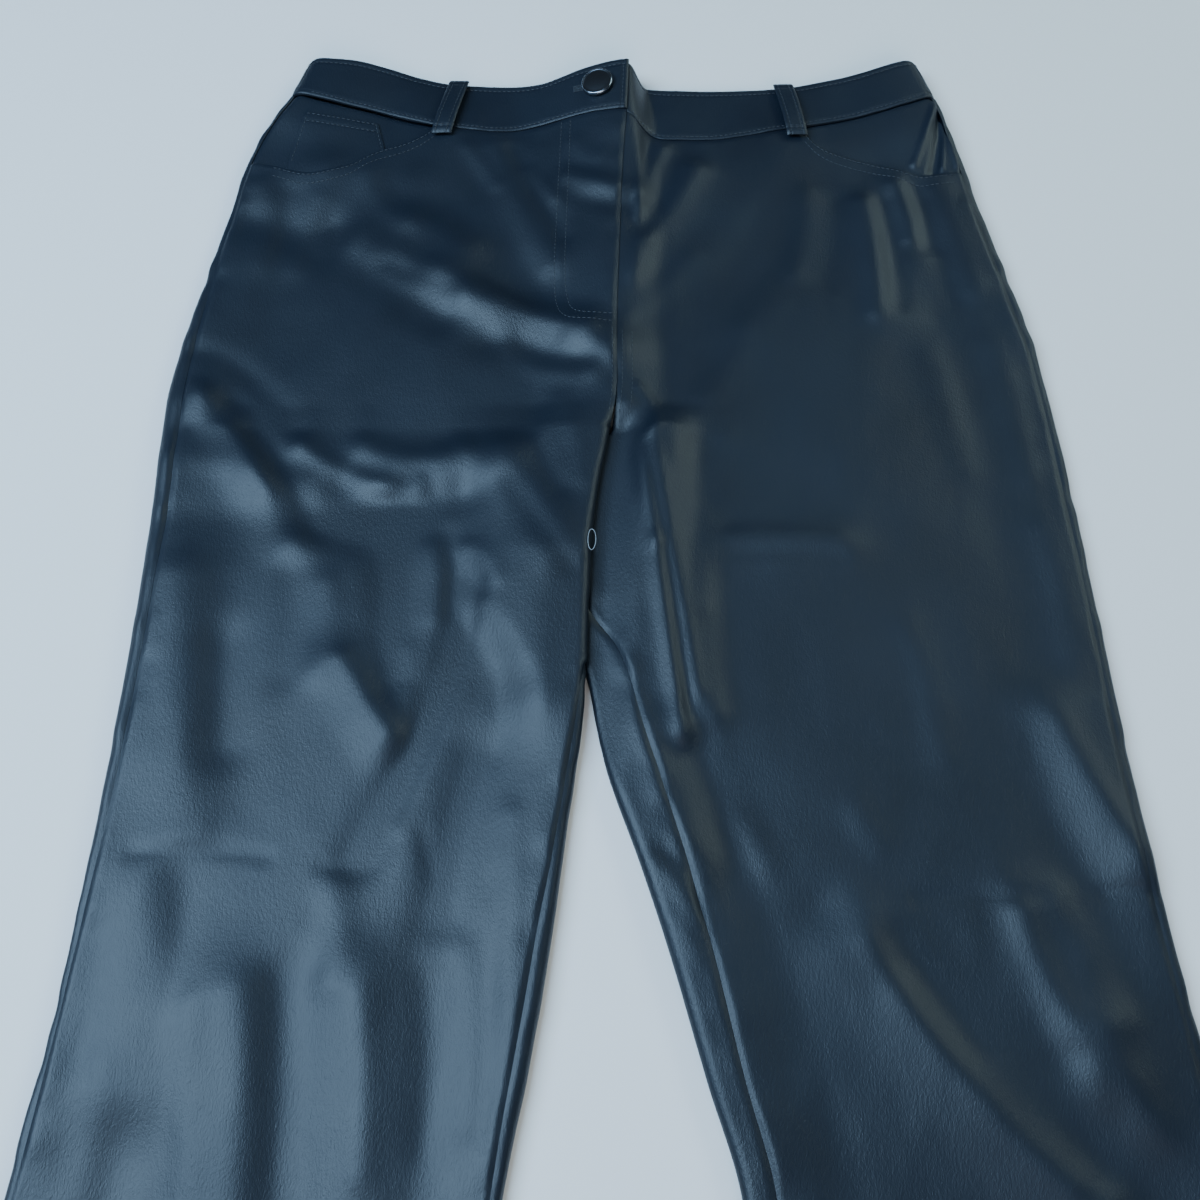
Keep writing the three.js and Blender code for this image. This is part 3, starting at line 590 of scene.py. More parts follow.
def underside(leg, x, down):
    if leg == "right":
        return np.zeros(np.broadcast(x, down).shape)
    t = np.clip((x - climb_from(down)) / (climb_full(down) - climb_from(down)), 0, 1)
    return climb_height(down) * ease(t)


def left_face(x, down, even=1.0):
    leg = LEGS["left"]
    middle = middle_loft(down)
    side = leg["side_top"](down) - LAYERS - middle
    crest = crest_top(down) - LAYERS - climb_height(down) - middle
    rise = middle + side * fall(x - leg["side"](down), leg["side_reach"](down))
    rise = rise + crest * fall(crest_x(down) - x, crest_left(down))
    rise = rise + folds("left", x, down) + even * unevenness(x, down, 0)
    return underside("left", x, down) + LAYERS + soft(rise)


def right_face(x, down, lap):
    """The right front, which lies lower by "lap" where it meets the left one at the fly."""
    leg = LEGS["right"]
    crest = crest_x(down)
    middle = middle_loft(down)
    side = leg["side_top"](down) - LAYERS - middle
    edge = middle + side * fall(leg["side"](down) - x, leg["side_reach"](down))
    folded = folds("right", x, down) + unevenness(x, down, RIGHT_SHIFT)

    at_crest = left_face(crest, down) - lap
    drop = (at_crest - LAYERS - middle) * fall(x - crest, crest_right(down))
    away = LAYERS + soft(drop + edge + folded * ramp(x, crest, CREST_CALM))
    hips = np.where(x <= crest, left_face(x, down) - lap, away)

    clear = crest + LEG_CLEAR
    ridge = np.maximum(clear + HUMP, right_edge(down) + RIDGE)
    inner = (inner_top(down) - LAYERS - middle) * fall(x - ridge, inner_reach(down))
    leg_face = LAYERS + mix(UNDER_LEG - LAYERS, soft(inner + edge + folded), ramp(x, clear, HUMP))
    return np.where(down < CROTCH, hips, leg_face)


def face(leg, x, down, lap=LAP):
    return left_face(x, down) if leg == "left" else right_face(x, down, lap)


# %% [markdown]
# A panel is a sheet of points in rows and columns. A column is a share of the way along the cloth,
# from the side seam over the garment to the fly or the inseam, and the folded edges are half
# ellipses. Working the share out as a length keeps the columns even where the cloth turns over.

# %% One place on a panel
EDGE_SAMPLE = 5
BACK_SEAM_ROOM = 0.1
TINY = 1e-6
TINIER = 1e-9


def roll_at(leg, down, edge, inwards, lap):
    """A folded edge: its reach, where it starts, its middle height and its half height."""
    sign = LEGS[leg]["sign"]
    near = sign * (edge + inwards * EDGE_SAMPLE)
    reach = ROLL * (face(leg, near, down, lap) - underside(leg, near, down))
    start = edge + inwards * reach
    top = face(leg, sign * start, down, lap)
    low = underside(leg, sign * start, down)
    return reach, start, (top + low) / 2, (top - low) / 2


def over(roll, inwards, angle):
    reach, start, middle, half = roll
    return start - inwards * reach * np.cos(angle), middle + half * np.sin(angle)


def arc(roll, turn):
    """The length of a folded edge that turns by an angle."""
    return turn * (roll[0] + roll[3]) / 2


def seam_angle(reach, seam):
    """Where on a folded edge a seam lies: its angle, and what is left of it beyond the edge."""
    angle = np.arccos(np.clip((reach - np.abs(seam)) / reach, 0, 1))
    return np.sign(seam + TINIER) * angle, np.maximum(np.abs(seam) - reach, 0)


def edges_at(leg, down, lap, gap):
    """Each folded edge of a leg with its seam's place on it, and whether the inseam lies on top."""
    part = LEGS[leg]
    sign = part["sign"]
    outer = roll_at(leg, down, sign * part["side"](down), -1, lap)
    inner = roll_at(leg, down, sign * part["inner"](down), 1, lap)
    inseam = part["inseam"](down) + gap
    side_seam = seam_angle(outer[0], part["side_seam"](down) + gap)
    return outer, side_seam, inner, seam_angle(inner[0], inseam), inseam > 0


def front_point(leg, share, down, lap=LAP, fly=None):
    """x and height on a front, at shares from 0 at the side seam to 1 at the fly or inseam."""
    sign = LEGS[leg]["sign"]
    outer, (angle0, past0), inner, (angle1, past1), on_top = edges_at(leg, down, lap, SEAM_GAP / 2)
    crest = sign * crest_x(down)
    hips_end = crest + SEAM_GAP / 2 if leg == "left" else crest - (underlap(down) if fly is None else fly)
    legs = down >= CROTCH
    start = outer[1] - past0
    end = np.where(legs, inner[1] + np.where(on_top, past1, 0), hips_end)
    turn = np.where(legs & ~(on_top & (past1 > 0)), np.pi / 2 - angle1, 0)
    length0 = arc(outer, np.pi / 2 - angle0)
    length1 = arc(inner, turn)
    length2 = np.where(legs & ~on_top, past1, 0)

    flat = start - end
    total = length0 + flat + length1 + length2
    run = share * total
    t0 = np.clip(run / np.maximum(length0, TINY), 0, 1)
    a0, z0 = over(outer, -1, mix(angle0, np.pi / 2, t0))
    away = start - np.clip(run - length0, 0, flat)
    z1 = face(leg, sign * away, down, lap)
    t2 = np.clip((run - length0 - flat) / np.maximum(length1, TINY), 0, 1)
    a2, z2 = over(inner, 1, np.pi / 2 - turn * t2)
    beyond = np.clip(run - length0 - flat - length1, 0, None)
    x = np.where(run < length0, a0, away)
    z = np.where(run < length0, z0, z1)
    rolled = run > length0 + flat
    x = np.where(rolled, a2 + beyond, x)
    z = np.where(rolled, z2, z)
    return sign * x, z, run, total


def back_point(leg, share, down):
    """x and height on a back, from the side seam round under the garment to its other seam."""
    sign = LEGS[leg]["sign"]
    outer, (angle0, top0), inner, (angle1, past1), on_top = edges_at(leg, down, LAP, -SEAM_GAP / 2)
    legs = down >= CROTCH
    end = np.where(legs, inner[1] + np.where(on_top, 0, past1), SEAM_GAP / 2 + BACK_SEAM_ROOM)
    turn = np.where(legs & (on_top | (past1 <= 0)), np.pi / 2 + angle1, 0)
    length0 = arc(outer, np.pi / 2 + angle0)
    length1 = arc(inner, turn)
    length2 = np.where(legs & on_top, past1, 0)

    flat = outer[1] - end
    total = top0 + length0 + flat + length1 + length2
    run = share * total
    on = outer[1] - top0 + np.clip(run, 0, top0)
    z_on = face(leg, sign * on, down)
    t0 = np.clip((run - top0) / np.maximum(length0, TINY), 0, 1)
    a0, z0 = over(outer, -1, mix(angle0, -np.pi / 2, t0))
    away = outer[1] - np.clip(run - top0 - length0, 0, flat)
    z1 = underside(leg, sign * away, down)
    t2 = np.clip((run - top0 - length0 - flat) / np.maximum(length1, TINY), 0, 1)
    a2, z2 = over(inner, 1, -np.pi / 2 + turn * t2)
    beyond = np.clip(run - total + length2, 0, None)
    z_beyond = face(leg, sign * (a2 + beyond), down)
    x = np.where(run < top0, on, np.where(run < top0 + length0, a0, away))
    z = np.where(run < top0, z_on, np.where(run < top0 + length0, z0, z1))
    rolled = run > top0 + length0 + flat
    x = np.where(rolled, a2 + beyond, x)
    z = np.where(rolled, np.where(beyond > 0, z_beyond, z2), z)
    return sign * x, z, run, total


def leg_way(point, leg, *more):
    """A panel's places on one leg. Just above the crotch they pass evenly from the hips to the legs."""

    def whole(share, down):
        t = np.clip((down - YOKE) / (CROTCH - YOKE), 0, 1)
        between = (down > YOKE) & (down < CROTCH)
        hips = point(leg, share, np.where(between, YOKE, down), *more)
        legs = point(leg, share, np.where(between, CROTCH, down), *more)
        return [np.where(between, mix(a, b, t), a) for a, b in zip(hips, legs)]

    return whole


# %% Rows and columns of a panel
SETTLING = 8
PANEL_TOP_GUESS = 45
STRIP_TOP_GUESS = 20
STRIP_LOW_GUESS = 50


def settle(point, shares, edge, guess):
    """How far down each column reaches an edge that is given by x."""
    down = np.full(shares.shape, float(guess))
    for _ in range(SETTLING):
        down = edge(point(shares, down)[0])
    return down


def grid_of(point, shares, down, **ends):
    """Arrays of x, down, height, run and whole length, with the ends of the columns."""
    x, z, run, total = point(np.broadcast_to(shares, down.shape), down)
    return {"x": x, "down": down, "z": z, "run": run, "total": total, **ends}


def panel_grid(point, shares, top_edge):
    """A panel from its top edge to the hem."""
    tops = settle(point, shares, top_edge, PANEL_TOP_GUESS)
    place = PLACES[:, None]
    down = np.where(place < SLIDE, mix(tops, SLIDE, place / SLIDE), place)
    return grid_of(point, shares, down, tops=tops)


def strip_grid(point, shares, top_edge, low_edge, rows):
    """A strip between two edges."""
    tops = settle(point, shares, top_edge, STRIP_TOP_GUESS)
    lows = settle(point, shares, low_edge, STRIP_LOW_GUESS)
    down = mix(tops, lows, np.linspace(0, 1, rows)[:, None])
    return grid_of(point, shares, down, tops=tops, lows=lows)


def spread(*stretches):
    """Places from 0 onwards, with its own number of steps in each stretch: (to, steps)."""
    places = [0.0]
    for to, steps in stretches:
        places.extend(np.linspace(places[-1], to, steps + 1)[1:])
    return np.array(places)


# %% Meshes
WELD = 1e-7
RIM_ANGLE = math.radians(50)
THINNEST = 0.25  # the share of a wall that stitches leave where they press it
pieces = {}
surfaces = {}


def rim_edges(mesh):
    """Keeps cut edges crisp and the faces smooth."""
    mesh.set_sharp_from_angle(angle=RIM_ANGLE)


def add_object(name, data):
    made = bpy.data.objects.new(name, data)
    bpy.context.scene.collection.objects.link(made)
    return made


def add_mesh(name, vertices, faces, weld=True):
    """A piece from points and faces, with every face looking outwards."""
    mesh = bpy.data.meshes.new(name)
    mesh.from_pydata(vertices, [], faces)
    mesh.validate()
    work = bmesh.new()
    work.from_mesh(mesh)
    if weld:
        bmesh.ops.remove_doubles(work, verts=work.verts, dist=WELD)
    bmesh.ops.recalc_face_normals(work, faces=work.faces)
    work.to_mesh(mesh)
    work.free()
    return add_object(name, mesh)


def apply_modifiers(piece):
    depsgraph = bpy.context.evaluated_depsgraph_get()
    made = bpy.data.meshes.new_from_object(piece.evaluated_get(depsgraph))
    piece.modifiers.clear()
    piece.data = made
    return made


def normals(points, flip):
    across = np.gradient(points, axis=1)
    along = np.gradient(points, axis=0)
    out = np.cross(across, along)
    out /= np.maximum(np.linalg.norm(out, axis=2, keepdims=True), TINIER)
    return -out if flip else out


def add_shell(name, grid, depth, flip, sink=0.0, proud=0.0, pressed=False):
    """A closed wall: its outer face from the grid, its inner face "depth" further in.

    A pressed wall grows thinner where it sinks, so that its inner face stays clear of what is below.
    """
    rows, wide = shape = grid["x"].shape
    depth, sink, proud = (np.broadcast_to(value, shape) for value in (depth, sink, proud))
    if pressed:
        depth = depth - np.clip(sink, 0, (1 - THINNEST) * depth)
    points = np.stack([grid["x"], height_to_y(grid["down"]), grid["z"]], axis=2)
    out = normals(points, flip)
    points = points - out * sink[..., None] + out * proud[..., None]
    inner = points - out * depth[..., None]
    points[..., 2] = np.maximum(points[..., 2], 0)

    index = np.arange(rows * wide).reshape(shape)
    a, b, c, d = index[:-1, :-1], index[:-1, 1:], index[1:, 1:], index[1:, :-1]
    outer_faces = np.stack([a, b, c, d], axis=2).reshape(-1, 4)
    inner_faces = outer_faces[:, ::-1] + rows * wide
    rims = []
    for line in (index[0, ::-1], index[-1, :], index[:, 0], index[::-1, -1]):
        far = line + rows * wide
        rims.append(np.stack([line[:-1], line[1:], far[1:], far[:-1]], axis=1))
    faces = np.concatenate([outer_faces, inner_faces, *rims])
    vertices = np.concatenate([points.reshape(-1, 3), inner.reshape(-1, 3)]) * MM
    piece = add_mesh(f"{name}_shell", vertices.tolist(), faces.tolist(), weld=False)
    piece.data.shade_smooth()
    rim_edges(piece.data)
    pieces[name] = piece
    surfaces[name] = points
    print(name, len(faces), "faces", *(np.round(end(axis=(0, 1)), 1) for end in (points.min, points.max)))


# %% [markdown]
# Seams and topstitching pull the cloth down a little, with small puckers beside them. The sink is
# worked out from each point's distance to the panel's edges, so it follows every seam.

# %% Seam dips and puckers
SEAM_DIP = 0.9
SEAM_DIP_WIDTH = 1.6
PUCKER = 0.34
PUCKER_GAIN = 1.6
PUCKER_START = 2.5
PUCKER_REACH = 9
PUCKER_LENGTH = 11
PUCKER_DRIFT = 30
PUCKERS = {"side": 1.4, "inner": 1.2, "top": 1.3}
SEEDS = {"side": 3, "top": 5, "inner": 9, "back_side": 13, "back_inner": 19}
GROOVES = {  # the depth and half width of each kind of stitched groove
    "hem": (0.35, 1.5),
    "fly": (0.34, 0.9),
    "band": (0.32, 0.8),
    "band_seam": (0.32, 0.7),
    "coin": (0.22, 0.7),
    "coin_side": (0.22, 0.6),
}
MOUTH_ROUNDING = 0.5
MOUTH_WIDTH = 0.6
BACK_SHOWN = 2  # a back's seams start to dip at this height
CROTCH_MIDDLE = 262
CROTCH_CALM = 14


def crotch_calm(down):
    """Nothing at the crotch, where four seams meet and no dip may part the legs, and one elsewhere."""
    return 1 - np.exp(-(((down - CROTCH_MIDDLE) / CROTCH_CALM) ** 4))


def seam_sink(distance, along, seed, puckers):
    dip = SEAM_DIP * bell(distance, SEAM_DIP_WIDTH)
    wave = wrinkle(along / PUCKER_LENGTH + SEEDS[seed], distance / PUCKER_DRIFT + SEEDS[seed])
    near = bell(distance, PUCKER_REACH) * (1 - bell(distance, PUCKER_START))
    return dip + PUCKERS[puckers] * PUCKER * wave * near * PUCKER_GAIN


def groove(distance, kind):
    depth, width = GROOVES[kind]
    return depth * bell(distance, width)


def front_top(leg):
    part = LEGS[leg]
    return lambda x: np.maximum(part["band_seam"](x) + SEAM_GAP, part["scoop"](x))


PLACES = spread((170, 57), (CROTCH, 32), (462, 65), (660, 61), (HEM, 83))
FRONT_SHARES = spread((0.02, 5), (0.06, 5), (0.8, 62), (0.88, 14), (1.0, 26))
BACK_SHARES = spread((0.02, 5), (0.12, 16), (0.84, 34), (1.0, 26))

# The fly's two lines of topstitching: places across, and down
FLY_LINES = [
    ([-32, -33, -34.5, -35, -33, -29, -22, -2], [44, 80, 127, 166, 184, 193, 196.5, 197]),
    ([-26.5, -27, -28.5, -28.8, -27, -24, -18, -2], [43.5, 80, 127, 164, 178, 187, 190.5, 191]),
]


def front_sink(leg, grid):
    x, down = grid["x"], grid["down"]
    side = seam_sink(grid["run"], down, "side", "side")
    inner = seam_sink(grid["total"] - grid["run"], down, "inner", "inner") * crotch_calm(down)
    below = down - grid["tops"]
    mouth = np.clip(LEGS[leg]["scoop"](x) - LEGS[leg]["band_seam"](x), 0, 1)
    top = mix(seam_sink(below, x, "top", "top"), MOUTH_ROUNDING * bell(below, MOUTH_WIDTH), mouth)
    sink = side + inner + top + groove(down - (HEM - HEM_TURN), "hem")
    if leg == "left":
        for xs, downs in FLY_LINES:
            sink = sink + groove(np.sqrt(near_square(x, down, xs, downs)), "fly")
    return sink


def back_sink(grid):
    down = grid["down"]
    side = seam_sink(grid["run"], down, "back_side", "side")
    inner = seam_sink(grid["total"] - grid["run"], down, "back_inner", "inner") * crotch_calm(down)
    return (side + inner) * np.clip(grid["z"] / BACK_SHOWN, 0, 1)


# %% The fronts and backs
def add_panel(name, point, leg, shares, top_edge, flip, sink):
    """One panel of a leg, thicker where the hem is turned up."""
    grid = panel_grid(leg_way(point, leg), shares, top_edge)
    depth = np.where(grid["down"] > HEM - HEM_TURN, HEM_CLOTH, CLOTH)
    add_shell(f"{name}_{leg}", grid, depth, flip, sink(grid), pressed=True)


for leg in LEGS:
    left = leg == "left"
    sink = lambda grid: front_sink(leg, grid)
    add_panel("front", front_point, leg, FRONT_SHARES, front_top(leg), left, sink)
    add_panel("back", back_point, leg, BACK_SHARES, lambda x: back_seam(x) + SEAM_GAP, not left, back_sink)

# %% [markdown]
# The waistband stands half a millimetre proud of the panels. Its top edge is a fold, so it rounds
# off, and each of its two lines of topstitching lies in a shallow groove.

# %% The waistband
BAND_SHARES = spread((0.03, 8), (0.7, 84), (1.0, 76))
BAND_ROWS = 40
BAND_BACK_ROWS = 14
BAND_SEEDS = {"left": 3, "right": 8, "back": 14}
BAND_ROUNDING = 0.7
BAND_TOP_WIDTH = 1.0
BAND_SEAM_WIDTH = 0.7
BAND_END_ROUNDING = 0.9
STITCH_FROM_TOP = 4.2
STITCH_FROM_SEAM = 2.2
STITCH_FROM_END = 3.2
BAND_REACH = 12 + BAND_TAIL
BAND_PUCKERS = {"across": 6, "down": 26, "reach": 9, "height": 0.22}
BAND_WAVES = {"across": 22, "down": 17, "height": 0.3}


def band_sink(grid, seed):
    below = grid["down"] - grid["tops"]
    above = grid["lows"] - grid["down"]
    sink = BAND_ROUNDING * bell(below, BAND_TOP_WIDTH) + BAND_ROUNDING * bell(above, BAND_SEAM_WIDTH)
    sink = sink + groove(below - STITCH_FROM_TOP, "band")
    sink = sink + groove(above - STITCH_FROM_SEAM, "band_seam")
    puckers, waves = (
        wrinkle(grid["x"] / size["across"] + BAND_SEEDS[seed], grid["down"] / size["down"])
        for size in (BAND_PUCKERS, BAND_WAVES)
    )
    puckers = puckers * bell(above, BAND_PUCKERS["reach"])
    return sink + BAND_PUCKERS["height"] * puckers + BAND_WAVES["height"] * waves


for leg in LEGS:
    fly = BAND_REACH if leg == "right" else None
    way = leg_way(front_point, leg, BAND_LAP, fly)
    grid = strip_grid(way, BAND_SHARES, LEGS[leg]["band_top"], LEGS[leg]["band_seam"], BAND_ROWS)
    to_end = grid["total"] - grid["run"]
    sink = band_sink(grid, leg) + BAND_END_ROUNDING * bell(to_end, BAND_END_ROUNDING)
    if leg == "left":
        sink = sink + groove(to_end - STITCH_FROM_END, "band")
    add_shell(f"waistband_{leg}", grid, BAND_CLOTH, leg == "left", sink, BAND_PROUD, pressed=True)

ways = [leg_way(back_point, leg) for leg in LEGS]
halves = [strip_grid(way, BACK_SHARES, back_top, back_seam, BAND_BACK_ROWS) for way in ways]
grid = {key: np.concatenate([halves[0][key], halves[1][key][..., ::-1]], axis=-1) for key in halves[0]}
shown = np.clip(grid["z"] / LAYERS, 0, 1)
sink = band_sink(grid, "back") * shown
add_shell("waistband_back", grid, BAND_CLOTH, False, sink, BAND_PROUD * shown, pressed=True)

# %% [markdown]
# Inside each scooped mouth lies a facing, lower than the front by a layer. The coin pocket is sewn
# on the left one. The right facing gapes in a sharp fold beside the side seam.

# %% Facings and coin pocket
FACING_SHARES = spread((0.04, 10), (0.47, 84))
FACING_ROWS = 44
FACING_TOP = (0.5, 1.5)  # how deep its top edge rounds off, and how wide
COIN_ROOM = (5, 14)  # where the left facing starts to sink under the coin pocket, and over what length
COIN_STITCHES = (1.6, 7.4)
COIN_SIDE_STITCH = 1.8
COIN_SHARES = spread((1.0, 60))
COIN_ROWS = 46
COIN_UNDER_FRONT = 6
COIN_ROUNDING = 0.3
COIN_TOP_WIDTH = 0.7
COIN_SIDE_WIDTH = 0.8
GAPES = columns("x1 down1 x2 down2 height width", """
203 29 185 76 1.5 2.4
206 40 196 82 -2.8 3.6
206 44 201 80 1.2 1.4
207 40 211 78 1.3 2.2
""")


def gape(x, down):
    total = np.zeros(np.shape(x))
    for x1, down1, x2, down2, height, width in zip(*GAPES.values()):
        near = np.sqrt(near_square(x, down, [x1, x2], [down1, down2]))
        total = total + height * bell(near, width)
    return total


for leg in LEGS:
    part, mouth = LEGS[leg], front_top(leg)
    top_edge, low_edge = lambda x: part["band_seam"](x) + SEAM_GAP, lambda x: mouth(x) + UNDER_FRONT
    grid = strip_grid(leg_way(front_point, leg), FACING_SHARES, top_edge, low_edge, FACING_ROWS)
    if leg == "left":
        inside = np.abs(part["side"](grid["down"])) - np.abs(grid["x"])
        sink = FACING_DEPTH + COIN_SINK * ramp(inside, *COIN_ROOM)
    else:
        sink = FACING_DEPTH - gape(grid["x"], grid["down"])
    sink = sink + FACING_TOP[0] * bell(grid["down"] - grid["tops"], FACING_TOP[1])
    add_shell(f"pocket_facing_{leg}", grid, CLOTH, leg == "left", sink)

coin_outer = curve(COIN, "outer")
coin_inner = curve(COIN, "inner")


def coin_point(share, down):
    outer, inner = coin_outer(down), coin_inner(down)
    x = mix(outer, inner, share)
    return x, left_face(x, down), x - outer, inner - outer


def coin_top(x):
    t = (x - COIN["outer"][0]) / (COIN["inner"][0] - COIN["outer"][0])
    return mix(COIN_TOP["outer"], COIN_TOP["inner"], t)


coin_low = lambda x: front_top("left")(x) + COIN_UNDER_FRONT
grid = strip_grid(coin_point, COIN_SHARES, coin_top, coin_low, COIN_ROWS)
below = grid["down"] - grid["tops"]
ends = np.minimum(grid["run"], grid["total"] - grid["run"])
sink = COIN_DEPTH + COIN_ROUNDING * bell(below, COIN_TOP_WIDTH) + COIN_ROUNDING * bell(ends, COIN_SIDE_WIDTH)
for place in COIN_STITCHES:
    sink = sink + groove(below - place, "coin")
sink = sink + groove(ends - COIN_SIDE_STITCH, "coin_side")
add_shell("coin_pocket", grid, COIN_CLOTH, True, sink)

# %% [markdown]
# A belt loop is a narrow folded strip that stands clear of the band between its sewn ends. The
# strip is 11 mm wide, with a rounded edge on both sides and stitching along each.

# %% Belt loops
LOOP_WIDTH = 11
LOOP_CLOTH = 1.4
LOOP_BULGE = 2.2
LOOP_SQUARENESS = 0.7
LOOP_TAIL = 9
LOOP_GAP = 0.5
LOOP_START = 0.5
LOOP_ROWS = 60
LOOP_COLUMNS = 23
LOOP_ROUNDING = 0.45
LOOP_DIPS = [  # from the loop's ends or its sides: place, depth and width
    ("ends", 0, 0.3, 0.8),
    ("ends", 4, 0.25, 0.9),
    ("sides", 2, 0.2, 0.6),
]


def loop_grid(leg, top_x, low_x):
    part = LEGS[leg]
    from_down = float(part["band_top"](top_x)) + LOOP_START
    to_down = float(part["band_seam"](low_x)) + LOOP_TAIL
    along = np.linspace(0, 1, LOOP_ROWS)[:, None]
    across = np.linspace(-0.5, 0.5, LOOP_COLUMNS)[None, :]
    down = mix(from_down, to_down, along) + 0 * across
    x = mix(top_x, low_x, along) + across * LOOP_WIDTH
    sides = (0.5 - np.abs(across)) * LOOP_WIDTH
    ends = np.minimum(along, 1 - along) * (to_down - from_down)
    lift = BAND_PROUD + LOOP_GAP + LOOP_CLOTH + LOOP_BULGE * np.sin(np.pi * along) ** LOOP_SQUARENESS
    z = face(leg, x, down) + lift - LOOP_ROUNDING * (1 - np.minimum(1, sides)) ** 2
    for edge, place, depth, width in LOOP_DIPS:
        z = z - depth * bell((ends if edge == "ends" else sides) - place, width)
    return {"x": x, "down": down, "z": z}


for leg, (top_x, low_x) in LOOPS.items():
    add_shell(f"belt_loop_{leg}", loop_grid(leg, top_x, low_x), LOOP_CLOTH, False)

# %% [markdown]
# The button is a turned metal head on a shank. It stands square on the sloping band, and the shank
# goes through a keyhole-shaped buttonhole that is cut in the band.

# %% The button and its hole
BUTTON_X = -9.3
BUTTON_DOWN = 19
HOLE_RADIUS = 2.5
HOLE_STEPS = 24
HOLE_HEIGHTS = (-5, 3)
SLIT = 0.9
SLIT_LENGTH = 15
SLOPE_STEP = 2
BUTTON_SIDES = 72
BUTTON_OUTLINE = columns("radius height", """
0 -2
1.8 -2
1.8 0.35
8.9 0.35
9.5 0.55
9.9 1.0
10 1.6
9.9 2.25
9.6 2.7
9.2 2.9
8.8 2.85
8.4 2.62
8.1 2.6
7 2.78
5 3.02
2.5 3.22
0 3.3
""")


def button_frame():
    """The matrix that sets the button on the plain band, with its own Y out of the cloth."""
    at = lambda across, up: float(left_face(BUTTON_X + across, BUTTON_DOWN - up, even=0.0))
    slope_x = (at(SLOPE_STEP, 0) - at(-SLOPE_STEP, 0)) / (2 * SLOPE_STEP)
    slope_y = (at(0, SLOPE_STEP) - at(0, -SLOPE_STEP)) / (2 * SLOPE_STEP)
    out = Vector((-slope_x, -slope_y, 1)).normalized()
    along = Vector((1, 0, slope_x)).normalized()
    foot = Vector((BUTTON_X, height_to_y(BUTTON_DOWN), at(0, 0))) + out * BAND_PROUD
    turn = Matrix((along, out, along.cross(out))).transposed().to_4x4()
    return Matrix.Translation(foot) @ turn


def ring_faces(rings, sides):
    """The faces between rings of points."""
    faces = []
    for i in range(rings - 1):
        for k in range(sides):
            a, b = i * sides + k, i * sides + (k + 1) % sides
            faces.append((a, b, b + sides, a + sides))
    return faces


button_place = button_frame()
vertices = []
for radius, height in zip(*BUTTON_OUTLINE.values()):
    for k in range(BUTTON_SIDES):
        angle = 2 * math.pi * k / BUTTON_SIDES
        spot = Vector((radius * math.cos(angle), height, radius * math.sin(angle)))
        vertices.append(button_place @ spot * MM)
rings = len(BUTTON_OUTLINE["radius"])
pieces["button"] = add_mesh("button_head", vertices, ring_faces(rings, BUTTON_SIDES))
pieces["button"].data.shade_smooth()
rim_edges(pieces["button"].data)


def keyhole():
    """A cutter of the buttonhole's shape, through the band."""
    start = math.asin(SLIT / 2 / HOLE_RADIUS)
    outline = [(-SLIT_LENGTH, -SLIT / 2)]
    for k in range(HOLE_STEPS + 1):
        angle = mix(-math.pi + start, math.pi - start, k / HOLE_STEPS)
        outline.append((HOLE_RADIUS * math.cos(angle), HOLE_RADIUS * math.sin(angle)))
    outline.append((-SLIT_LENGTH, SLIT / 2))
    count = len(outline)
    vertices = [button_place @ Vector((x, height, z)) * MM for height in HOLE_HEIGHTS for x, z in outline]
    faces = [tuple(range(count)), tuple(range(2 * count - 1, count - 1, -1))]
    faces += [(k, (k + 1) % count, (k + 1) % count + count, k + count) for k in range(count)]
    return add_mesh("keyhole", vertices, faces)


def cut_keyhole(piece):
    cutter = keyhole()
    cut = piece.modifiers.new("hole", "BOOLEAN")
    cut.operation = "DIFFERENCE"
    cut.solver = "EXACT"
    cut.object = cutter
    rim_edges(apply_modifiers(piece))
    bpy.data.objects.remove(cutter)


cut_keyhole(pieces["waistband_left"])
print("waistband_left faces with its buttonhole", len(pieces["waistband_left"].data.polygons))

# %% [markdown]
# Stitches are real short threads. A line of sewing is drawn across the garment, laid on the shell
# by dropping each point on it, and a small node group sets one rounded stitch after another on it.

# %% Stitch lines
DROP_FROM = 60
SPAN_STEP = 2.5
LINE_STEP = 1.5
CORNER_CUTS = 3
CORNER_SHARES = (0.25, 0.75)
THREAD_LIFT = 0.1
trees = {}
lines = {}


def surface_tree(name):
    if name not in trees:
        mesh = pieces[name].data
        vertices = [v.co.copy() for v in mesh.vertices]
        trees[name] = BVHTree.FromPolygons(vertices, [tuple(p.vertices) for p in mesh.polygons])
    return trees[name]


def lay_line(name, xs, downs, lift, below=False):
    """Points of a line dropped on a shell, from above or from below."""
    up = -1 if below else 1
    points = []
    for x, down in zip(xs, downs):
        start = Vector((x, height_to_y(down), up * DROP_FROM)) * MM
        spot = surface_tree(name).ray_cast(start, Vector((0, 0, -up)))[0]
        if spot is not None:
            points.append(spot + Vector((0, 0, up * lift)) * MM)
    return points


def span(a, b, step=SPAN_STEP):
    return np.linspace(a, b, max(int(abs(b - a) / step), 2) + 1)


def stretch_line(table_x, table_down):
    """Even points on a line through the given ones."""
    xs, downs = np.array(table_x, float), np.array(table_down, float)
    run = np.concatenate([[0], np.cumsum(np.hypot(np.diff(xs), np.diff(downs)))])
    at = np.linspace(0, run[-1], int(run[-1] / LINE_STEP) + 2)
    return np.interp(at, run, xs), np.interp(at, run, downs)


def rounded(xs, downs):
    """Cuts the corners of a line, so that it bends smoothly."""
    points = np.stack([xs, downs], axis=1)
    for _ in range(CORNER_CUTS):
        near, far = (mix(points[:-1], points[1:], share) for share in CORNER_SHARES)
        inner = np.stack([near, far], axis=1).reshape(-1, 2)
        points = np.concatenate([points[:1], inner[1:-1], points[-1:]])
    return points[:, 0], points[:, 1]


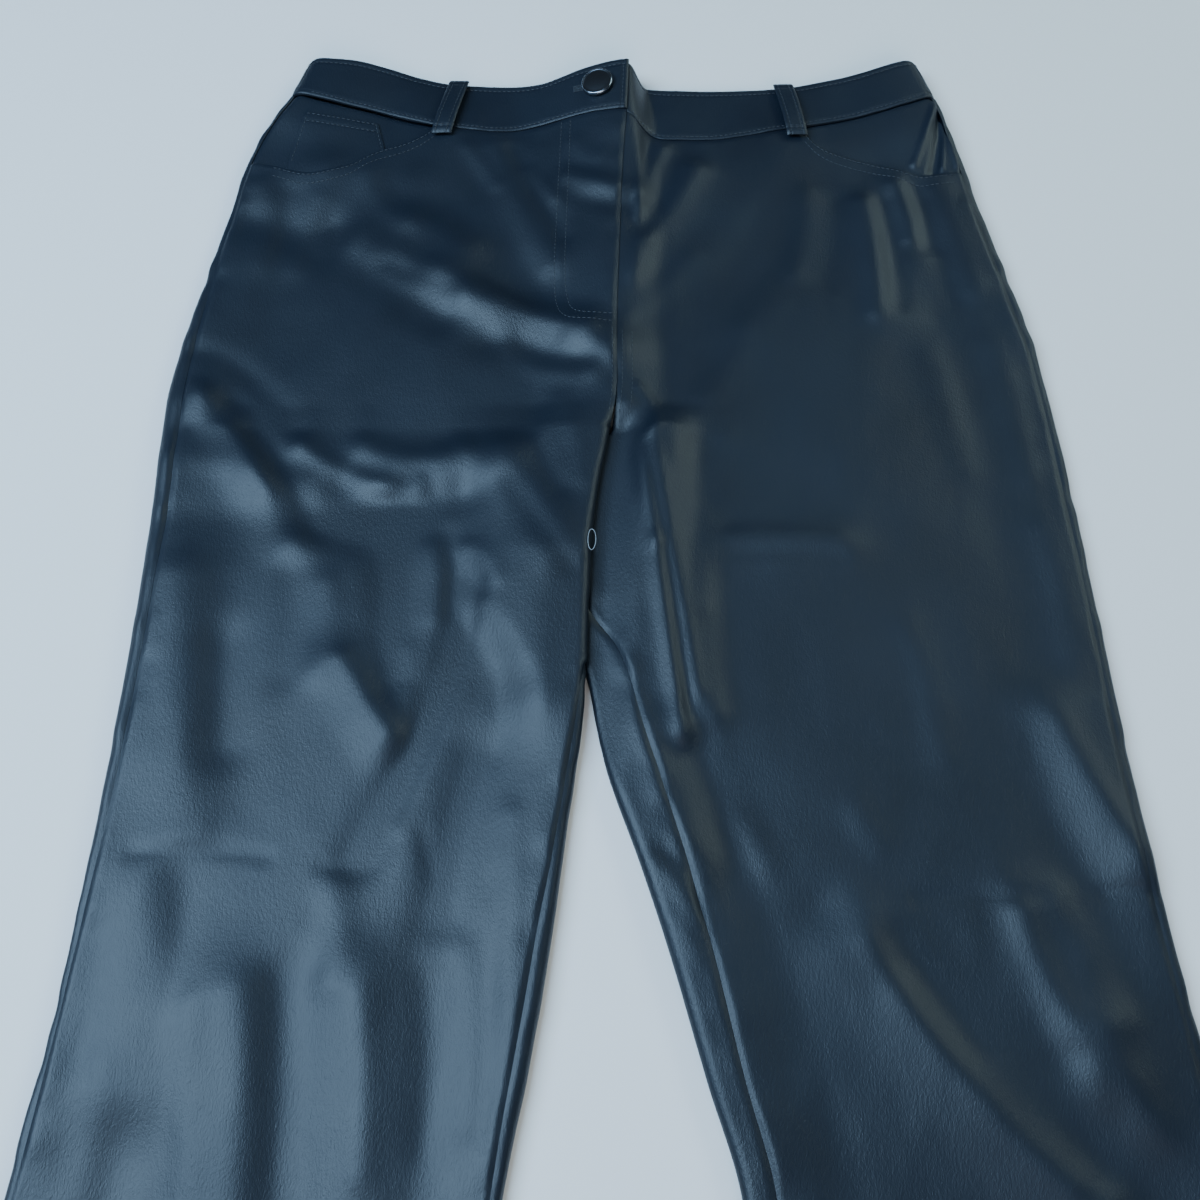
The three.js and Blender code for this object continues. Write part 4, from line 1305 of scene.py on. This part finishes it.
def sew(name, xs, downs, below=False):
    xs, downs = np.broadcast_arrays(xs, downs)
    points = lay_line(name, xs, downs, -THREAD_LIFT if below else THREAD_LIFT, below)
    if len(points) > 2:
        lines.setdefault(name, []).append(points)


BAND_STITCH_ENDS = {"left": (-188, 7), "right": (13, 192)}
MOUTH_STITCH_ENDS = {"left": (-206, -112), "right": (120, 206)}
MOUTH_STITCHES = (2, 8)
MOUTH_BELOW_BAND = 3
FRONT_SEAM_STITCHES = (("front_left", -2.6), ("front_right", 3.0), ("front_right", 8.6))
BAND_END_DOWNS = (7, 36)
FRONT_SEAM_DOWNS = (204, 256)
COIN_STITCH_XS = (-189.5, -150)
COIN_STITCH_DOWNS = (42, 74)
LOOP_SIDE = 3.5
LOOP_STITCH_END = 2
LOOP_BARS = (2, 3.2)  # the rows across a loop, above the end of its side rows
HEM_STITCH_ENDS = (0.06, 0.95)

for leg, part in LEGS.items():
    xs = span(*BAND_STITCH_ENDS[leg])
    sew(f"waistband_{leg}", xs, part["band_top"](xs) + STITCH_FROM_TOP)
    sew(f"waistband_{leg}", xs, part["band_seam"](xs) - STITCH_FROM_SEAM)
    xs = span(*MOUTH_STITCH_ENDS[leg])
    for shift in MOUTH_STITCHES:
        below_band = part["band_seam"](xs) + MOUTH_BELOW_BAND
        sew(f"front_{leg}", xs, np.maximum(part["scoop"](xs) + shift, below_band))
downs = span(*BAND_END_DOWNS)
sew("waistband_left", crest_x(downs) - STITCH_FROM_END, downs)
for xs, downs in FLY_LINES:
    sew("front_left", *stretch_line(*rounded(np.array(xs), np.array(downs))))
downs = span(*FRONT_SEAM_DOWNS)
for name, shift in FRONT_SEAM_STITCHES:
    sew(name, crest_x(downs) + shift, downs)

for place in COIN_STITCHES:
    xs = span(*COIN_STITCH_XS)
    sew("coin_pocket", xs, coin_top(xs) + place)
downs = span(*COIN_STITCH_DOWNS)
sew("coin_pocket", coin_outer(downs) + COIN_SIDE_STITCH, downs)
sew("coin_pocket", coin_inner(downs) - COIN_SIDE_STITCH, downs)

for leg, (top_x, low_x) in LOOPS.items():
    part = LEGS[leg]
    top = float(part["band_top"](top_x)) + LOOP_STITCH_END
    low = float(part["band_seam"](low_x)) + LOOP_TAIL - LOOP_STITCH_END
    downs = span(top, low)
    middle = mix(top_x, low_x, (downs - top) / (low - top))
    for shift in (-LOOP_SIDE, LOOP_SIDE):
        sew(f"belt_loop_{leg}", middle + shift, downs)
    for above in LOOP_BARS:
        sew(f"belt_loop_{leg}", span(low_x - LOOP_SIDE, low_x + LOOP_SIDE, 1), low - above)

for leg, part in LEGS.items():
    down = HEM - HEM_TURN
    outer_x, inner_x = float(part["side"](down)), float(part["inner"](down))
    xs = span(*(mix(outer_x, inner_x, share) for share in HEM_STITCH_ENDS))
    sew(f"front_{leg}", xs, down)
    sew(f"back_{leg}", xs, down, below=True)

# A loose thread end curls out beside the left leg's inseam
CURL = {"x": -12.4, "edge": -14, "down": 339, "across": 2.4, "along": 6, "narrows": 0.7, "lift": 0.9}
CURL_STEPS = 26
CURL_TURN = (-0.45, 1.6)  # in half turns
turn = np.linspace(CURL_TURN[0] * math.pi, CURL_TURN[1] * math.pi, CURL_STEPS)
curl_x = CURL["x"] + CURL["across"] * np.cos(turn) * np.linspace(1, CURL["narrows"], CURL_STEPS)
curl_down = CURL["down"] + CURL["along"] * np.sin(turn)
on_panel = np.minimum(curl_x, CURL["edge"])
thread_end = lay_line("front_left", on_panel, curl_down, CURL["lift"])
assert len(thread_end) == len(curl_x), "the thread end starts beside the panel"
for spot, x in zip(thread_end, curl_x):
    spot.x = x * MM
print("stitch lines", sum(len(group) for group in lines.values()))

# %% The stitch maker
STITCH_SIZES = {"Step": 3.0, "Length": 2.3, "Thread": 0.26}
HOLE_STITCH_SIZES = {"Step": 3, "Length": 1.5, "Thread": 0.2}
STITCH_SIDES = 7
STITCH_SEGMENTS = 3
STITCH_TAPER = -2.4
LOOSE_THREAD = 0.17
LOOSE_SIDES = 8
THREAD_COLOUR = (0.03, 0.038, 0.05)
LOOSE_COLOUR = (0.3, 0.34, 0.38)
THREAD_ROUGHNESS = 0.5
STITCH_NODES = {
    "start": "NodeGroupInput",
    "to_curve": "GeometryNodeMeshToCurve",
    "resample": "GeometryNodeResampleCurve",
    "tangent": "GeometryNodeInputTangent",
    "align": "FunctionNodeAlignRotationToVector",
    "bar": "GeometryNodeMeshCylinder",
    "position": "GeometryNodeInputPosition",
    "split": "ShaderNodeSeparateXYZ",
    "share": "ShaderNodeMath",
    "square": "ShaderNodeMath",
    "shrink": "ShaderNodeMath",
    "join": "ShaderNodeCombineXYZ",
    "multiply": "ShaderNodeVectorMath",
    "tapered": "GeometryNodeSetPosition",
    "to_points": "GeometryNodeInstanceOnPoints",
    "realize": "GeometryNodeRealizeInstances",
    "coloured": "GeometryNodeSetMaterial",
    "end": "NodeGroupOutput",
}
# A bar stands at even steps along each line and turns with it. The square of each point's share of
# the bar's length, times the taper, draws the bar's ends in.
STITCH_WIRES = """
start Lines to_curve Mesh
to_curve Curve resample Curve
start Step resample Length
resample Curve to_points Points
tangent Tangent align Vector
align Rotation to_points Rotation
start Thread bar Radius
start Length bar Depth
position Position split Vector
split Z share 0
start Length share 1
share Value square 0
share Value square 1
square Value shrink 0
shrink Value join X
shrink Value join Y
position Position multiply 0
join Vector multiply 1
bar Mesh tapered Geometry
multiply Vector tapered Position
tapered Geometry to_points Instance
to_points Instances realize Geometry
realize Geometry coloured Geometry
coloured Geometry end Stitches
"""


def stitch_group(material):
    """A node group: the lines of a mesh become rows of rounded stitches."""
    group = bpy.data.node_groups.new("stitches", "GeometryNodeTree")
    socket = group.interface.new_socket
    socket("Lines", in_out="INPUT", socket_type="NodeSocketGeometry")
    sizes = {name: socket(name, in_out="INPUT", socket_type="NodeSocketFloat") for name in STITCH_SIZES}
    socket("Stitches", in_out="OUTPUT", socket_type="NodeSocketGeometry")
    nodes = {name: group.nodes.new(kind) for name, kind in STITCH_NODES.items()}
    nodes["resample"].mode = "LENGTH"
    nodes["align"].axis = "Z"
    nodes["bar"].inputs["Vertices"].default_value = STITCH_SIDES
    nodes["bar"].inputs["Side Segments"].default_value = STITCH_SEGMENTS
    nodes["bar"].fill_type = "TRIANGLE_FAN"
    nodes["share"].operation = "DIVIDE"
    nodes["square"].operation = "MULTIPLY"
    nodes["shrink"].operation = "MULTIPLY_ADD"
    nodes["shrink"].inputs[1].default_value = STITCH_TAPER
    nodes["shrink"].inputs[2].default_value = 1.0
    nodes["join"].inputs["Z"].default_value = 1.0
    nodes["multiply"].operation = "MULTIPLY"
    nodes["coloured"].inputs["Material"].default_value = material
    for wire in STITCH_WIRES.strip().split("\n"):
        start, output, end, entry = wire.split()
        entry = int(entry) if entry.isdigit() else entry
        group.links.new(nodes[start].outputs[output], nodes[end].inputs[entry])
    return group, {name: made.identifier for name, made in sizes.items()}


def add_stitches(name, groups, sizes):
    vertices, edges = [], []
    for points in groups:
        first = len(vertices)
        vertices.extend(points)
        edges.extend((first + k, first + k + 1) for k in range(len(points) - 1))
    mesh = bpy.data.meshes.new(name)
    mesh.from_pydata(vertices, edges, [])
    piece = add_object(name, mesh)
    modifier = piece.modifiers.new("stitches", "NODES")
    modifier.node_group = maker
    for size, value in sizes.items():
        modifier[sockets[size]] = value * MM
    apply_modifiers(piece).shade_smooth()
    return piece


def add_material(name, colour, roughness, metallic=0.0):
    material = bpy.data.materials.new(name)
    material.use_nodes = True
    shader = material.node_tree.nodes["Principled BSDF"]
    shader.inputs["Base Color"].default_value = (*colour, 1)
    shader.inputs["Roughness"].default_value = roughness
    shader.inputs["Metallic"].default_value = metallic
    return material


maker, sockets = stitch_group(add_material("thread", THREAD_COLOUR, THREAD_ROUGHNESS))
sewing = {name: add_stitches(f"stitches_{name}", groups, STITCH_SIZES) for name, groups in lines.items()}

# The buttonhole's edge is oversewn with short threads set across the slit
HOLE_STITCHES = 34
HOLE_STITCH_ENDS = (-SLIT_LENGTH - 0.6, -HOLE_RADIUS - 1.5)
HOLE_STITCH_REACH = (0.55, 1.9)
HOLE_STITCH_LIFT = 0.12
slit_points = []
for k in range(HOLE_STITCHES):
    x = mix(*HOLE_STITCH_ENDS, k / (HOLE_STITCHES - 1))
    for side in (-1, 1):
        spots = [button_place @ Vector((x, 0, side * across)) for across in HOLE_STITCH_REACH]
        xs, downs = zip(*((spot.x, LENGTH / 2 + BAND_END - spot.y) for spot in spots))
        ends = lay_line("waistband_left", xs, downs, HOLE_STITCH_LIFT)
        if len(ends) == 2:
            slit_points.append(ends)
sewing["buttonhole"] = add_stitches("buttonhole_thread", slit_points, HOLE_STITCH_SIZES)


def tube_along(name, points, radius, sides):
    """A round thread along a line of points."""
    vertices = []
    for i, point in enumerate(points):
        ahead = points[min(i + 1, len(points) - 1)] - points[max(i - 1, 0)]
        side = ahead.cross(Vector((0, 0, 1))).normalized()
        up = side.cross(ahead).normalized()
        for k in range(sides):
            angle = 2 * math.pi * k / sides
            vertices.append(point + (side * math.cos(angle) + up * math.sin(angle)) * radius)
    ends = [tuple(range(sides)), tuple(range(len(vertices) - sides, len(vertices)))]
    piece = add_mesh(name, vertices, ring_faces(len(points), sides) + ends)
    piece.data.shade_smooth()
    return piece


loose = tube_along("thread_end", thread_end, LOOSE_THREAD * MM, LOOSE_SIDES)
loose.data.materials.append(add_material("loose_thread", LOOSE_COLOUR, THREAD_ROUGHNESS))
sewing["thread_end"] = loose
print("sewing", {name: len(piece.data.polygons) for name, piece in sewing.items()})

# %% [markdown]
# The leather is nearly black with a cool tint. Its surface is smooth but not glossy, and a fine
# pebbled grain, longer down the leg than across it, breaks up each highlight.

# %% The leather
HIDE_COLOURS = ((0.002, 0.005, 0.011, 1), (0.006, 0.013, 0.025, 1))
HIDE_ROUGHNESS = (0.40, 0.53)
PLAIN_HIDE = ((0.012, 0.018, 0.026), 0.42)  # for a viewer that reads no nodes
METAL = ((0.28, 0.32, 0.38), 0.22, 1.0)
GRAIN_SCALE = (1150, 760, 1150)
FINE_SCALE = (900, 420, 900)
BROAD_SCALE = 14.0
NOISE_DETAIL = 3.0
GRAIN_STRENGTH = 0.8
GRAIN_SHARE = 0.6
GRAIN_HEIGHT = 0.0002


def hide_material():
    material = add_material("hide", *PLAIN_HIDE)
    nodes, links = material.node_tree.nodes, material.node_tree.links
    shader = nodes["Principled BSDF"]
    place = nodes.new("ShaderNodeTexCoord")

    def node(kind, **values):
        made = nodes.new(kind)
        for entry, value in values.items():
            made.inputs[entry.replace("_", " ")].default_value = value
        return made

    def stretched(scale):
        mapping = node("ShaderNodeMapping", Scale=scale)
        links.new(place.outputs["Object"], mapping.inputs["Vector"])
        return mapping.outputs["Vector"]

    grain = node("ShaderNodeTexVoronoi", Scale=1.0)
    grain.feature = "DISTANCE_TO_EDGE"
    links.new(stretched(GRAIN_SCALE), grain.inputs["Vector"])
    fine = node("ShaderNodeTexNoise", Scale=1.0, Detail=NOISE_DETAIL)
    links.new(stretched(FINE_SCALE), fine.inputs["Vector"])
    broad = node("ShaderNodeTexNoise", Scale=BROAD_SCALE, Detail=NOISE_DETAIL)
    links.new(place.outputs["Object"], broad.inputs["Vector"])

    colours = nodes.new("ShaderNodeMix")
    colours.data_type = "RGBA"
    colours.inputs[6].default_value, colours.inputs[7].default_value = HIDE_COLOURS
    links.new(broad.outputs["Fac"], colours.inputs[0])
    links.new(colours.outputs[2], shader.inputs["Base Color"])

    rough = node("ShaderNodeMapRange", To_Min=HIDE_ROUGHNESS[0], To_Max=HIDE_ROUGHNESS[1])
    links.new(broad.outputs["Fac"], rough.inputs["Value"])
    links.new(rough.outputs["Result"], shader.inputs["Roughness"])

    joined = nodes.new("ShaderNodeMath")
    joined.operation = "MULTIPLY_ADD"
    joined.inputs[1].default_value = GRAIN_SHARE
    links.new(grain.outputs["Distance"], joined.inputs[0])
    links.new(fine.outputs["Fac"], joined.inputs[2])
    bump = node("ShaderNodeBump", Strength=GRAIN_STRENGTH, Distance=GRAIN_HEIGHT)
    links.new(joined.outputs["Value"], bump.inputs["Height"])
    links.new(bump.outputs["Normal"], shader.inputs["Normal"])
    return material


hide = hide_material()
metal = add_material("gunmetal", *METAL)
for name, piece in pieces.items():
    piece.data.materials.clear()
    piece.data.materials.append(metal if name == "button" else hide)

# %% [markdown]
# Every piece rides on the one rigid part and takes the place of its plain solid, and the flat size
# of each free sheet of cloth, as it would be cut, is printed.

# %% Places and sheets
for name, piece in pieces.items():
    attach(piece, "root")
    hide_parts(name)
for name, piece in sewing.items():
    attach(piece, "root")


def flat_size(points):
    """The width, length and area of a panel's face, in metres, before it was folded round."""
    across = np.linalg.norm(np.diff(points, axis=1), axis=2).sum(axis=1).max()
    along = np.linalg.norm(np.diff(points, axis=0), axis=2).sum(axis=0).max()
    edge_a = points[1:, :-1] - points[:-1, :-1]
    edge_b = points[:-1, 1:] - points[:-1, :-1]
    area = np.linalg.norm(np.cross(edge_a, edge_b), axis=2).sum()
    return float(across * MM), float(along * MM), float(area * MM * MM)


for name, points in surfaces.items():
    width, length, area = flat_size(points)
    area = min(area, width * length)
    print(name, "flat", round(width, 3), "x", round(length, 3), "m, area", round(area, 4))

# %% The floor, the lights and the camera
CAMERA_PLACE = (-8.0, -128.1, 591.0)
CAMERA_TILT = 25.0
LENS = 37.5
SENSOR = 36
FLOOR = 6.0
FLOOR_DROP = -0.0004
FLOOR_LOOK = ((0.86, 0.86, 0.86), 0.9)
SKY = (0.62, 0.72, 0.85, 1)
SKY_STRENGTH = 0.055

camera_data = bpy.data.cameras.new("camera")
camera_data.sensor_width = SENSOR
camera_data.lens = LENS
camera = add_object("camera", camera_data)
camera.location = [value * MM for value in CAMERA_PLACE]
camera.rotation_euler = (math.radians(CAMERA_TILT), 0, 0)
bpy.context.scene.camera = camera

corners = [(x * FLOOR, y * FLOOR, FLOOR_DROP) for x, y in ((-1, -1), (1, -1), (1, 1), (-1, 1))]
floor = add_mesh("floor", corners, [(0, 1, 2, 3)])
floor.data.materials.append(add_material("floor", *FLOOR_LOOK))

world = bpy.data.worlds.new("studio")
world.use_nodes = True
background = world.node_tree.nodes["Background"]
background.inputs["Color"].default_value = SKY
background.inputs["Strength"].default_value = SKY_STRENGTH
bpy.context.scene.world = world

LIGHTS = [  # name, size, power, colour, place and target
    ("window", (0.8, 1.5), 56, (0.48, 0.73, 1.0), (-0.95, 0.1, 1.5), (-0.1, 0.1, 0)),
    ("room", (0.8, 0.6), 7, (0.8, 1.0, 0.9), (1.5, 0.8, 1.1), (0.1, 0.1, 0)),
    ("doorway", (0.5, 0.5), 5, (0.76, 1.0, 0.96), (1.2, 1.5, 1.05), (0.12, 0.3, 0)),
    ("far_wall", (1.4, 1.0), 1.4, (0.6, 0.82, 1.0), (0.75, 1.5, 1.7), (0.15, 0.2, 0)),
    ("floor_fill", (2.4, 1.4), 60, (1.0, 0.98, 0.96), (0.4, -2.8, 1.6), (0, 0.2, 0)),
]
for name, size, power, colour, place, target in LIGHTS:
    data = bpy.data.lights.new(name, "AREA")
    data.shape = "RECTANGLE"
    data.size, data.size_y = size
    data.energy = power
    data.color = colour
    light = add_object(name, data)
    light.location = place
    light.rotation_euler = (Vector(target) - Vector(place)).to_track_quat("-Z", "Y").to_euler()
